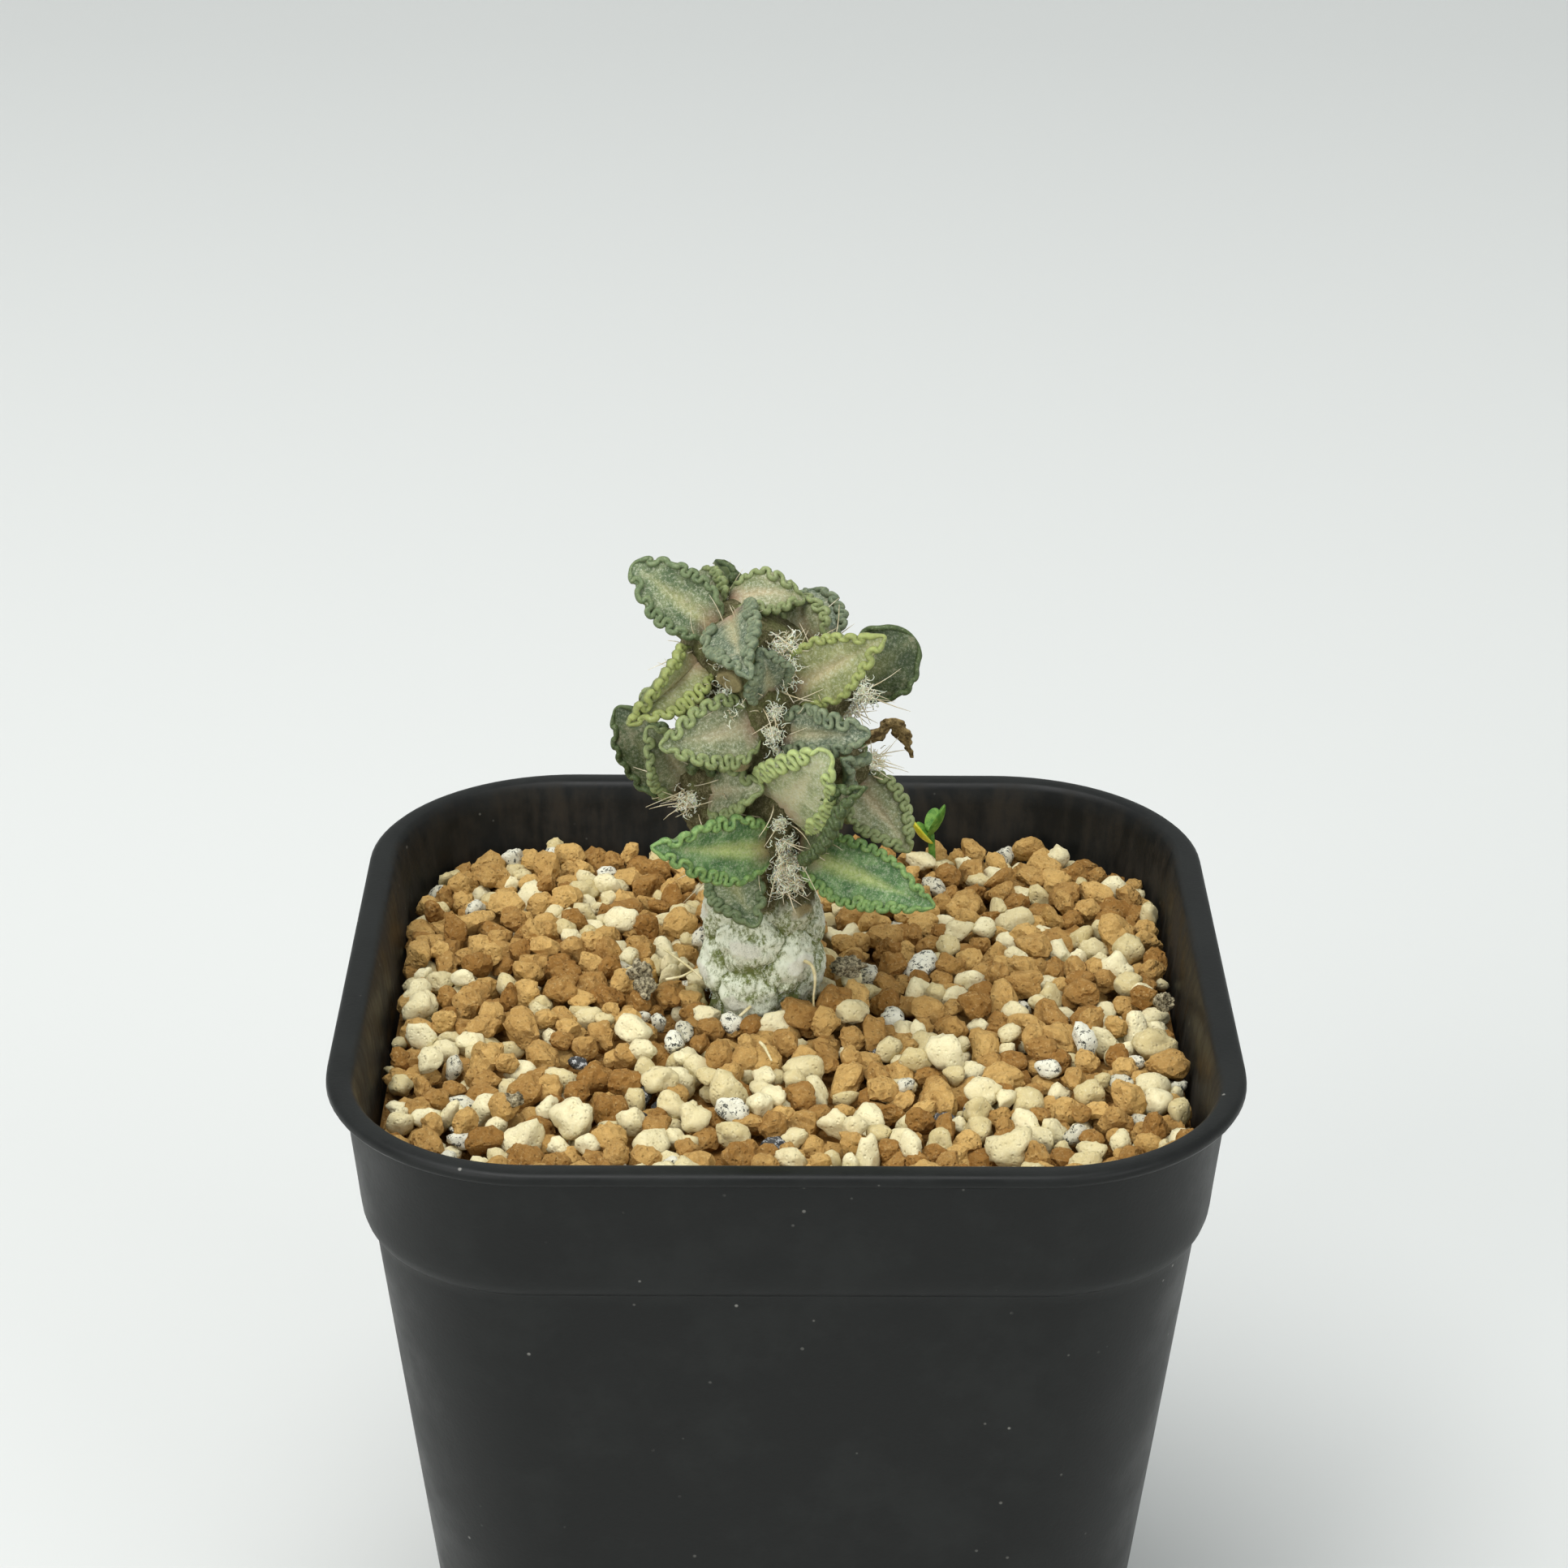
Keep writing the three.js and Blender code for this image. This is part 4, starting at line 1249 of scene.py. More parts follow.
@dataclass
class Fluff:
    """All tufts of wool, the lint on the stem's foot, and the bristles beside the leaves."""

    wool: PlainFinish = PlainFinish(
        "off_white_wool", shown(252, 244, 208), shown(255, 252, 232), 0.9, 0.5, 0.02, 0.3
    )
    lint: PlainFinish = PlainFinish(
        "white_lint", shown(244, 246, 226), shown(254, 255, 246), 0.9, 0.5, 0.02, 0.35
    )
    straw: PlainFinish = PlainFinish(
        "pale_bristle", shown(206, 190, 150), shown(236, 228, 204), 0.5, 0.8, 0.02
    )
    seed: int = 11
    lint_count: int = 620
    lint_thick: float = 0.024
    lint_length: float = 0.75
    wool_thick: float = 0.06
    wool_spread: float = 1.25
    wool_rise: float = 0.45
    bends: int = 5
    leaf_bristles: int = 5
    bristle_radii: tuple[float, ...] = (0.07, 0.062, 0.05, 0.036, 0.015)
    tufts: tuple[Tuft, ...] = (
        Tuft(-76, 24.4, 0.75, 90, 4),
        Tuft(-79, 22.6, 0.8, 110, 0),
        Tuft(-78, 20.8, 0.5, 50, 0),
        Tuft(-80, 14.4, 0.65, 70, 2, 0.8),
        Tuft(-77, 12.4, 0.85, 130, 3, 0.8),
        Tuft(-74, 10.6, 1.2, 200, 4),
        Tuft(-72, 9.0, 1.6, 300, 6, 1.3),
        Tuft(-64, 7.9, 1.2, 170, 8, 1.5),
        Tuft(-50, 28.6, 1.3, 190, 16, 1.9),
        Tuft(-60, 26.8, 1.1, 130, 8, 1.5),
        Tuft(-20, 27.6, 1.2, 110, 8, 1.5),
        Tuft(-8, 23.6, 1.0, 160, 8, 1.5),
        Tuft(-20, 18.2, 1.0, 110, 12),
        Tuft(-146, 15.0, 1.0, 120, 16),
        Tuft(-152, 9.4, 1.3, 190, 5, 1.5),
        Tuft(-110, 28.4, 0.8, 80, 8),
        Tuft(-112, 24.6, 1.5, 200, 6, 1.5),
        Tuft(-132, 23.6, 1.3, 150, 6, 1.5),
        Tuft(120, 30.6, 1.1, 100, 8, 1.5),
        Tuft(90, 22.4, 1.1, 120, 8),
        Tuft(60, 26.4, 1.0, 90, 8),
        Tuft(150, 22.0, 1.0, 90, 8),
        Tuft(95, 12.4, 1.1, 120, 8),
        Tuft(40, 15.8, 1.0, 90, 8),
        Tuft(160, 12.0, 1.0, 90, 8),
        Tuft(15, 20.6, 1.0, 90, 8),
    )

    def build(self, stem: Stem) -> None:
        """Makes the wool, the lint and the bristles.

        Args:
            stem: what they grow on.
        """
        draw = np.random.default_rng(self.seed)
        wool: list[Skin] = []
        straw: list[Skin] = []
        lint: list[Skin] = []
        for tuft in self.tufts:
            facing = stem.outward(tuft.turn, tuft.height)
            middle = stem.spot(tuft.turn, tuft.height)
            wool.append(self.pad(middle, facing, tuft.size, draw))
            upward, spread = facing * self.wool_rise, tuft.size * self.wool_spread
            for _ in range(tuft.hairs):
                wool.append(self.hair(middle, upward, spread, tuft.wisp, self.wool_thick, draw))
            for _ in range(tuft.bristles):
                straw.append(self.bristle(middle, facing, tuft.size, draw))
        for leaf in LEAVES:
            for _ in range(self.leaf_bristles):
                turn = leaf.turn + draw.uniform(-24, 24)
                height = min(leaf.height + draw.uniform(-1.6, 1.6), 30.5)
                straw.append(self.bristle(stem.spot(turn, height), stem.outward(turn, height), 0.3, draw))
        for _ in range(self.lint_count):
            turn, height = draw.uniform(-180, 180), draw.uniform(-5.6, 7.0)
            upward = stem.outward(turn, height) * 0.25
            low = stem.spot(turn, height, -0.15)
            lint.append(self.hair(low, upward, 0.2, self.lint_length, self.lint_thick, draw))
        Skin.joined(wool).piece("wool_tufts", self.wool.material(), "stem_bark")
        Skin.joined(lint).piece("stem_lint", self.lint.material(), "stem_bark")
        Skin.joined(straw).piece("bristles", self.straw.material(), "stem_bark")

    def pad(self, middle: np.ndarray, facing: np.ndarray, size: float, draw: np.random.Generator) -> Skin:
        """Low felted cushion under the hairs.

        Args:
            middle: where its tuft stands.
            facing: direction that the stem's surface faces there.
            size: half-width of the tuft.
            draw: source of chance.

        Returns:
            The cushion's skin.
        """
        ball = ball_skin(2)
        flat = np.eye(3) - 0.6 * np.outer(facing, facing)
        points = ball.points @ flat * size * 0.6
        lumps = fractal_noise(points + draw.uniform(-90, 90, 3), 0.5, 3, 5)
        points = points * (1 + 0.5 * lumps)[:, None]
        return Skin(points + middle, ball.faces)

    def hair(
        self,
        middle: np.ndarray,
        facing: np.ndarray,
        size: float,
        length: float,
        radius: float,
        draw: np.random.Generator,
    ) -> Skin:
        """One curling strand of wool.

        Args:
            middle: where its tuft stands.
            facing: direction that the tuft grows in; a short one lets the strand lie down.
            size: half-width of the tuft.
            length: length of the strand.
            radius: half-thickness of the strand.
            draw: source of chance.

        Returns:
            The strand's skin.
        """
        spread = draw.normal(0, 0.5, 3)
        start = middle + spread * size * 0.75 + facing * 0.3
        heading = unit(facing * 0.8 + draw.normal(0, 0.6, 3))
        spin = unit(draw.normal(size=3))
        bend = draw.uniform(0.35, 1.15)
        step = length * draw.uniform(0.5, 1.2) / self.bends
        path = [start]
        for _ in range(self.bends):
            path.append(path[-1] + heading * step)
            heading = heading * math.cos(bend) + np.cross(spin, heading) * math.sin(bend)
            heading = unit(heading + facing * 0.12)
        return tube(np.array(path), np.linspace(radius, radius * 0.45, self.bends + 1), 3)

    def bristle(
        self, middle: np.ndarray, facing: np.ndarray, size: float, draw: np.random.Generator
    ) -> Skin:
        """One straight, tapering bristle with a slight bend.

        Args:
            middle: where its tuft stands.
            facing: direction that the stem's surface faces there.
            size: half-width of the tuft.
            draw: source of chance.

        Returns:
            The bristle's skin.
        """
        spread = draw.normal(0, 0.5, 3)
        start = middle + (spread - facing * (spread @ facing)) * size - facing * 0.2
        heading = unit(facing + draw.normal(0, 0.42, 3))
        bend = draw.normal(0, 0.16, 3)
        share = np.linspace(0, 1, len(self.bristle_radii))[:, None]
        length = draw.uniform(2.0, 4.0)
        path = start + length * (share * heading + share**2 * bend)
        return tube(path, np.array(self.bristle_radii), 4)


def ball_skin(level: int) -> Skin:
    """Ball of even triangles, with a radius of one.

    Args:
        level: how often the twenty first triangles are quartered.

    Returns:
        The ball's skin.
    """
    golden = (1 + 5**0.5) / 2
    corners = [(-1, golden, 0), (1, golden, 0), (-1, -golden, 0), (1, -golden, 0)]
    corners += [(0, x, y) for x, y in ((-1, golden), (1, golden), (-1, -golden), (1, -golden))]
    corners += [(x, 0, y) for x, y in ((golden, -1), (golden, 1), (-golden, -1), (-golden, 1))]
    faces = [(0, 11, 5), (0, 5, 1), (0, 1, 7), (0, 7, 10), (0, 10, 11), (1, 5, 9), (5, 11, 4)]
    faces += [(11, 10, 2), (10, 7, 6), (7, 1, 8), (3, 9, 4), (3, 4, 2), (3, 2, 6), (3, 6, 8)]
    faces += [(3, 8, 9), (4, 9, 5), (2, 4, 11), (6, 2, 10), (8, 6, 7), (9, 8, 1)]
    points = [np.array(corner, float) for corner in corners]
    for _ in range(level):
        middles: dict[tuple[int, int], int] = {}
        finer = []
        for face in faces:
            halves = []
            for first, second in ((0, 1), (1, 2), (2, 0)):
                key = tuple(sorted((face[first], face[second])))
                if key not in middles:
                    middles[key] = len(points)
                    points.append((points[key[0]] + points[key[1]]) / 2)
                halves.append(middles[key])
            finer += [(face[0], halves[0], halves[2]), (face[1], halves[1], halves[0])]
            finer += [(face[2], halves[2], halves[1]), tuple(halves)]
        faces = finer
    return Skin(unit(np.array(points)), [np.array(faces)])


def rounded_square(half: float, corner: float, steps: int) -> np.ndarray:
    """Ring of a square with round corners.

    Args:
        half: half-width of the square.
        corner: radius of its corners.
        steps: points in a corner.

    Returns:
        Rows of x, y.
    """
    ring = []
    for quarter, (sx, sy) in enumerate(((1, -1), (1, 1), (-1, 1), (-1, -1))):
        angles = (quarter - 1) * math.pi / 2 + np.linspace(0, math.pi / 2, steps)
        arc = np.stack([np.cos(angles), np.sin(angles)], axis=1) * corner
        ring.append(arc + np.array([sx, sy]) * (half - corner))
    return np.concatenate(ring)


def square_rod(
    profile: list[tuple[float, float, float]], steps: int
) -> tuple[np.ndarray, list[np.ndarray]]:
    """Stack of square rings, closed at both ends.

    Args:
        profile: height, half-width and corner radius of each ring.
        steps: points in a corner.

    Returns:
        The points, with the two hubs last, and the faces.
    """
    rings = []
    for height, half, corner in profile:
        ring = rounded_square(half, corner, steps)
        rings.append(np.column_stack([ring, np.full(len(ring), height)]))
    hubs = [[0, 0, profile[0][0]], [0, 0, profile[-1][0]]]
    return np.concatenate([*rings, hubs]), rod_faces(len(rings), len(rings[0]))


@dataclass
class Pot:
    """Square nursery pot: each row is a height, a half-width, a corner radius and whether it is inside."""

    finish: PlasticFinish = PlasticFinish()
    corner_steps: int = 22
    drain_radius: float = 3.5
    drain_reach: float = 14.0
    drain_corners: int = 36
    profile: tuple[tuple[float, float, float, float], ...] = (
        (1.5, 23.6, 10.2, 0),
        (1.35, 23.95, 10.5, 0),
        (0.25, 24.0, 10.5, 0),
        (0.0, 24.3, 10.7, 0),
        (0.0, 26.5, 13.0, 0),
        (0.12, 26.9, 13.4, 0),
        (1.0, 27.55, 14.0, 0),
        (20.0, 29.6, 14.0, 0),
        (40.0, 31.7, 14.0, 0),
        (61.0, 33.88, 14.0, 0),
        (61.9, 33.98, 14.0, 0),
        (62.15, 34.1, 14.1, 0),
        (62.3, 34.4, 14.3, 0),
        (62.7, 34.65, 14.5, 0),
        (63.4, 34.9, 14.8, 0),
        (64.4, 35.05, 15.0, 0),
        (65.5, 35.15, 15.1, 0),
        (73.2, 35.95, 15.8, 0),
        (73.6, 36.05, 15.9, 0),
        (73.85, 36.4, 16.5, 0),
        (73.9, 37.1, 17.6, 0),
        (74.0, 37.35, 17.9, 0),
        (74.3, 37.5, 18.0, 0),
        (74.75, 37.45, 18.0, 0),
        (74.95, 37.2, 17.7, 0),
        (75.0, 36.9, 17.4, 0),
        (75.0, 35.75, 15.7, 0),
        (74.85, 35.4, 15.1, 0.3),
        (74.4, 35.1, 14.8, 0.6),
        (73.0, 34.75, 14.3, 1),
        (64.8, 33.9, 13.8, 1),
        (63.0, 33.3, 13.3, 1),
        (61.9, 32.75, 12.8, 1),
        (40.0, 30.4, 12.8, 1),
        (4.0, 26.9, 12.6, 1),
        (3.0, 26.4, 12.2, 1),
        (2.8, 25.6, 11.6, 1),
    )

    def build(self) -> None:
        """Makes the pot with its drain holes."""
        points, faces = square_rod([row[:3] for row in self.profile], self.corner_steps)
        inside = np.append(np.repeat([row[3] for row in self.profile], 4 * self.corner_steps), [0.0, 1.0])
        skin = Skin(points, faces, {"inside": inside})
        pot = skin.piece("pot_wall", self.finish.material(), "pot_plastic", "pot")
        self.drill(pot)

    def drill(self, pot: bpy.types.Object) -> None:
        """Cuts the drain holes through the floor.

        Args:
            pot: the pot's wall, whose mesh is replaced by the drilled one.
        """
        drills = []
        for sx, sy in ((0, 0), (1, 1), (-1, 1), (-1, -1), (1, -1)):
            middle = np.array([sx, sy, 0]) * self.drain_reach
            path = middle + np.array([[0, 0, 0.5], [0, 0, 4.0]])
            drills.append(tube(path, np.full(2, self.drain_radius), self.drain_corners))
        cutter = Skin.joined(drills).piece("drain_cutter", pot.data.materials[0], "pot_plastic")
        cut = pot.modifiers.new("drains", "BOOLEAN")
        cut.object = cutter
        cut.operation = "DIFFERENCE"
        cut.solver = "EXACT"
        bpy.context.view_layer.update()
        drilled = pot.evaluated_get(bpy.context.evaluated_depsgraph_get())
        pot.data = bpy.data.meshes.new_from_object(drilled)
        pot.modifiers.clear()
        bpy.data.objects.remove(cutter, do_unlink=True)


class Kind(Enum):
    """The granules' kinds, with the share of the bed that each makes up."""

    BROWN = 0.62
    CREAM = 0.325
    SPECKLED = 0.045
    DARK = 0.01


@dataclass(frozen=True)
class GrainForm:
    """Smallest and largest half-size of a kind of grain, how it is stretched, chipped and roughened."""

    smallest: float
    largest: float
    stretch: float
    chips: int
    rough: float
    fine: float


GRAINS = {
    Kind.BROWN: GrainFinish(
        name="brown_granules",
        dark=shown(150, 108, 56),
        light=shown(216, 176, 108),
        dust=shown(236, 206, 146),
        speck=shown(90, 62, 30),
        specks=0.2,
        pit=0.6,
        depth=0.38,
    ),
    Kind.CREAM: GrainFinish(
        name="cream_granules",
        dark=shown(212, 194, 140),
        light=shown(248, 238, 194),
        dust=shown(252, 246, 214),
        speck=shown(170, 146, 102),
        specks=0.15,
        pit=0.5,
        depth=0.3,
    ),
    Kind.SPECKLED: GrainFinish(
        name="speckled_granules",
        dark=shown(196, 190, 164),
        light=shown(234, 232, 212),
        dust=shown(242, 240, 226),
        speck=shown(58, 60, 56),
        specks=0.95,
        pit=0.4,
        depth=0.18,
    ),
    Kind.DARK: GrainFinish(
        name="dark_granules",
        dark=shown(52, 54, 56),
        light=shown(92, 92, 90),
        dust=shown(150, 148, 142),
        speck=shown(220, 222, 220),
        specks=0.8,
        pit=0.5,
        depth=0.25,
    ),
}

FORMS = {
    Kind.BROWN: GrainForm(0.78, 1.75, 0.15, 4, 0.20, 0.16),
    Kind.CREAM: GrainForm(0.65, 1.6, 0.19, 6, 0.23, 0.13),
    Kind.SPECKLED: GrainForm(0.65, 1.35, 0.2, 9, 0.17, 0.10),
    Kind.DARK: GrainForm(0.6, 1.2, 0.25, 9, 0.12, 0.05),
}

MARKED_STONES = (
    (-32.0, 0.0, 1.7, Kind.CREAM),
    (-24.5, 6.5, 1.6, Kind.CREAM),
    (-17.0, 0.0, 1.5, Kind.CREAM),
    (-13.0, -4.0, 1.8, Kind.CREAM),
    (-21.5, 1.5, 1.2, Kind.CREAM),
    (-23.0, -12.0, 1.5, Kind.CREAM),
    (-32.3, -12.0, 1.5, Kind.CREAM),
    (-30.0, -9.5, 1.4, Kind.CREAM),
    (-17.5, -20.0, 2.3, Kind.CREAM),
    (-21.5, -21.5, 2.2, Kind.CREAM),
    (-11.0, -22.0, 1.9, Kind.CREAM),
    (-5.0, -14.5, 2.0, Kind.CREAM),
    (-4.5, -20.5, 1.6, Kind.CREAM),
    (-12.0, -9.0, 1.4, Kind.CREAM),
    (-24.0, -19.0, 1.2, Kind.CREAM),
    (-10.0, 7.0, 1.2, Kind.CREAM),
    (-14.0, 10.0, 1.4, Kind.CREAM),
    (-8.6, -4.2, 1.3, Kind.SPECKLED),
    (-11.0, -1.2, 1.0, Kind.SPECKLED),
    (-1.0, -21.0, 1.4, Kind.DARK),
    (-17.5, -7.0, 0.9, Kind.DARK),
    (-27.5, -25.0, 1.4, Kind.SPECKLED),
    (-30.5, 6.5, 1.5, Kind.CREAM),
    (6.2, 1.2, 1.8, Kind.CREAM),
    (9.2, 0.5, 1.7, Kind.SPECKLED),
    (13.5, -8.5, 2.3, Kind.CREAM),
    (23.0, 4.0, 1.7, Kind.CREAM),
    (7.0, -17.5, 2.0, Kind.CREAM),
    (4.0, -18.3, 1.7, Kind.CREAM),
    (5.0, -13.0, 1.2, Kind.CREAM),
    (6.5, -24.5, 1.9, Kind.CREAM),
    (18.0, -23.5, 2.2, Kind.CREAM),
    (12.5, -22.0, 1.5, Kind.CREAM),
    (25.0, -22.5, 1.6, Kind.CREAM),
    (22.0, -19.0, 1.4, Kind.CREAM),
    (30.8, -12.5, 1.7, Kind.CREAM),
    (29.6, -17.0, 1.2, Kind.SPECKLED),
    (25.5, -14.0, 1.6, Kind.CREAM),
    (22.0, -10.5, 1.3, Kind.SPECKLED),
    (25.5, -5.5, 1.5, Kind.SPECKLED),
    (31.6, -6.0, 2.1, Kind.CREAM),
    (24.5, 13.0, 1.5, Kind.CREAM),
    (30.5, 12.0, 2.0, Kind.CREAM),
    (28.0, 2.5, 1.3, Kind.CREAM),
    (3.5, -23.5, 1.3, Kind.CREAM),
    (20.0, 0.5, 1.3, Kind.CREAM),
    (12.0, 9.5, 1.7, Kind.SPECKLED),
    (2.2, -2.4, 1.35, Kind.BROWN),
    (4.9, -1.6, 1.25, Kind.BROWN),
    (5.6, -4.4, 1.3, Kind.BROWN),
    (1.5, -7.0, 1.55, Kind.BROWN),
    (5.5, -8.0, 1.35, Kind.BROWN),
    (12.5, 1.0, 1.75, Kind.BROWN),
    (4.8, 2.4, 1.1, Kind.CREAM),
    (-20.5, -7.0, 2.0, Kind.BROWN),
    (-25.5, -8.5, 2.0, Kind.BROWN),
    (-22.5, -3.0, 2.0, Kind.BROWN),
    (-16.0, -11.0, 1.9, Kind.BROWN),
)

BANKED_STONES = (
    (1.3, -2.6, 70.9, 1.5, Kind.BROWN),
    (3.9, -1.4, 71.2, 1.45, Kind.BROWN),
    (3.2, -3.9, 70.6, 1.2, Kind.BROWN),
    (5.9, -0.2, 71.0, 1.3, Kind.BROWN),
    (5.6, -2.4, 70.7, 1.25, Kind.CREAM),
    (-0.9, -3.5, 70.2, 1.0, Kind.CREAM),
    (-2.9, -3.3, 70.1, 0.9, Kind.BROWN),
    (-4.8, -3.0, 70.1, 0.9, Kind.SPECKLED),
    (-6.6, -1.6, 70.2, 1.0, Kind.CREAM),
)


@dataclass
class GranuleBed:
    """Loose granules, dropped one by one onto a plain bed, with the larger stones laid on top.

    headroom is how far a grain may stand over the surface, and touch the share of two grains' radii
    at which they meet. A grain whose top lies deeper than buried is left out, and one deeper than
    shaded is made of fewer faces. The radius of a marked stone is stone_share of its mark. It takes
    the place of the grains within stone_room of it and above stone_clearance, and stands stone_rise
    over the surface at most.
    """

    seed: int = 5
    misses: int = 160
    surface: float = 69.75
    floor: float = 67.0
    half: float = 33.9
    corner: float = 13.6
    tries: int = 18
    stem_reach: float = 5.0
    headroom: float = 1.25
    buried: float = 1.25
    shaded: float = 0.45
    touch: float = 0.82
    stone_share: float = 0.75
    stone_room: float = 0.8
    stone_rise: float = 0.75
    stone_clearance: float = 1.5
    chip_sharpness: float = 14.0
    chip_near: float = 0.70
    chip_far: float = 0.95
    flatness: float = 0.92
    corner_steps: int = 12
    profile: tuple[tuple[float, float, float], ...] = (
        (3.1, 26.1, 12.0),
        (61.9, 32.4, 12.4),
        (64.8, 33.5, 13.4),
        (67.1, 33.75, 13.6),
    )

    def inside(self, x: np.ndarray, y: np.ndarray, radius: float) -> np.ndarray:
        """Whether grains lie clear of the pot's wall.

        Args:
            x: where they lie across the pot.
            y: where they lie from front to back.
            radius: their half-size.

        Returns:
            True for each that lies clear.
        """
        half, corner = self.half - radius, max(self.corner - radius, 1.0)
        over_x, over_y = np.abs(x) - (half - corner), np.abs(y) - (half - corner)
        beyond = np.hypot(np.maximum(over_x, 0), np.maximum(over_y, 0))
        return beyond <= corner

    def rest_height(self, spot: np.ndarray, radius: float, laid: np.ndarray) -> float:
        """Height at which a grain comes to rest on those laid before it.

        Args:
            spot: its x, y.
            radius: its half-size.
            laid: rows of x, y, z and radius of the grains laid before it.

        Returns:
            The height of its middle.
        """
        base = self.floor + radius * 0.2
        away = np.hypot(laid[:, 0] - spot[0], laid[:, 1] - spot[1])
        touch = self.touch * (laid[:, 3] + radius)
        close = away < touch
        if not close.any():
            return base
        lift = laid[close, 2] + np.sqrt(touch[close] ** 2 - away[close] ** 2)
        return max(base, float(lift.max()))

    def drop(self) -> tuple[np.ndarray, np.ndarray]:
        """Places the grains round the stem.

        Returns:
            Rows of x, y, z and radius in millimetres, and the number of each grain's kind.
        """
        draw = np.random.default_rng(self.seed)
        kinds = list(Kind)
        laid, chosen = np.zeros((0, 4)), []
        foot = axis_at(np.array([-6.0]))[0]
        missed = 0
        while missed < self.misses:
            kind = int(draw.choice(len(kinds), p=[kind.value for kind in kinds]))
            form = FORMS[kinds[kind]]
            radius = form.smallest + (form.largest - form.smallest) * draw.beta(1.3, 2.4)
            spots = draw.uniform(-self.half, self.half, (self.tries, 2))
            spots = spots[self.inside(spots[:, 0], spots[:, 1], radius * 0.9)]
            away = np.hypot(spots[:, 0] - foot[0], spots[:, 1] - foot[1])
            spots = spots[away > self.stem_reach + radius * 0.8]
            if not len(spots):
                continue
            heights = np.array([self.rest_height(spot, radius, laid) for spot in spots])
            best = int(heights.argmin())
            if heights[best] + radius > self.surface + self.headroom:
                missed += 1
                continue
            laid = np.vstack([laid, [*spots[best], heights[best], radius]])
            chosen.append(kind)
        return self.lay_stones(laid, np.array(chosen))

    def bank_up(self, laid: np.ndarray, chosen: np.ndarray) -> tuple[np.ndarray, np.ndarray]:
        """Banks a few granules against the front of the stem's foot.

        Args:
            laid: rows of x, y, z and radius of the grains laid so far.
            chosen: the number of each one's kind.

        Returns:
            Both, with the banked granules added.
        """
        kinds = list(Kind)
        for x, y, height, radius, kind in BANKED_STONES:
            laid = np.vstack([laid, [x, y, height, radius]])
            chosen = np.append(chosen, kinds.index(kind))
        return laid, chosen

    def lay_stones(self, laid: np.ndarray, chosen: np.ndarray) -> tuple[np.ndarray, np.ndarray]:
        """Lays the marked stones on top, in the place of the grains that were there.

        Args:
            laid: rows of x, y, z and radius of the grains laid so far.
            chosen: the number of each one's kind.

        Returns:
            Both, with the stones in place.
        """
        kinds = list(Kind)
        for x, y, wide, kind in MARKED_STONES:
            radius = self.stone_share * wide
            away = np.hypot(laid[:, 0] - x, laid[:, 1] - y)
            near = away < self.stone_room * (laid[:, 3] + radius)
            covered = near & (laid[:, 2] > self.surface - self.stone_clearance)
            laid, chosen = laid[~covered], chosen[~covered]
            height = self.rest_height(np.array([x, y]), radius, laid)
            height = min(height, self.surface + self.stone_rise - 0.2 * radius)
            laid = np.vstack([laid, [x, y, height, radius]])
            chosen = np.append(chosen, kinds.index(kind))
        return self.bank_up(laid, chosen)

    def grain(self, place: np.ndarray, form: GrainForm, draw: np.random.Generator, ball: Skin) -> Skin:
        """One chipped, rough grain.

        Args:
            place: its x, y, z and radius.
            form: what its kind looks like.
            draw: source of chance.
            ball: the ball that it is made from.

        Returns:
            The grain's skin.
        """
        rays = ball.points
        reach = np.full(len(rays), 1.12)
        for _ in range(form.chips):
            plane = unit(draw.normal(size=3))
            facing = np.maximum(rays @ plane, 1e-3)
            cut = draw.uniform(self.chip_near, self.chip_far) / facing
            edge = self.chip_sharpness
            reach = -np.logaddexp(-reach * edge, -np.minimum(cut, 4) * edge) / edge
        stretch = np.exp(draw.normal(0, form.stretch, 3))
        stretch = stretch / np.prod(stretch) ** (1 / 3)
        away = draw.uniform(-50, 50, 3)
        lumps = form.rough * fractal_noise(rays + away, 0.95, 2, 3)
        lumps = lumps + form.fine * fractal_noise(rays + away, 0.33, 2, 8)
        points = rays * (reach * (1 + lumps))[:, None] * stretch
        angles = draw.uniform(0, TAU, 2)
        turn = np.array(Matrix.Rotation(angles[0], 3, "X") @ Matrix.Rotation(angles[1], 3, "Z"))
        points = points @ turn * place[3]
        points[:, 2] *= self.flatness
        tint = np.full(len(points), draw.uniform(0, 1))
        return Skin(points + place[:3], ball.faces, {"tint": tint})

    def build(self) -> None:
        """Makes the bed and its granules."""
        points, faces = square_rod(list(self.profile), self.corner_steps)
        bed = Skin(points, faces, {"tint": np.zeros(len(points))})
        materials = {kind: finish.material() for kind, finish in GRAINS.items()}
        bed.piece("bed_filling", materials[Kind.BROWN], "granules", "granule_bed")
        draw = np.random.default_rng(self.seed + 1)
        places, chosen = self.drop()
        tops = places[:, 2] + places[:, 3]
        coarse, fine = ball_skin(1), ball_skin(2)
        for index, kind in enumerate(Kind):
            grains = []
            for place in places[(chosen == index) & (tops > self.surface - self.buried)]:
                ball = coarse if place[2] + place[3] < self.surface - self.shaded else fine
                grains.append(self.grain(place, FORMS[kind], draw, ball))
            heap = Skin.joined(grains)
            heap.chipped = kind is Kind.BROWN
            heap.piece(GRAINS[kind].name, materials[kind], "granules", "granule_bed")


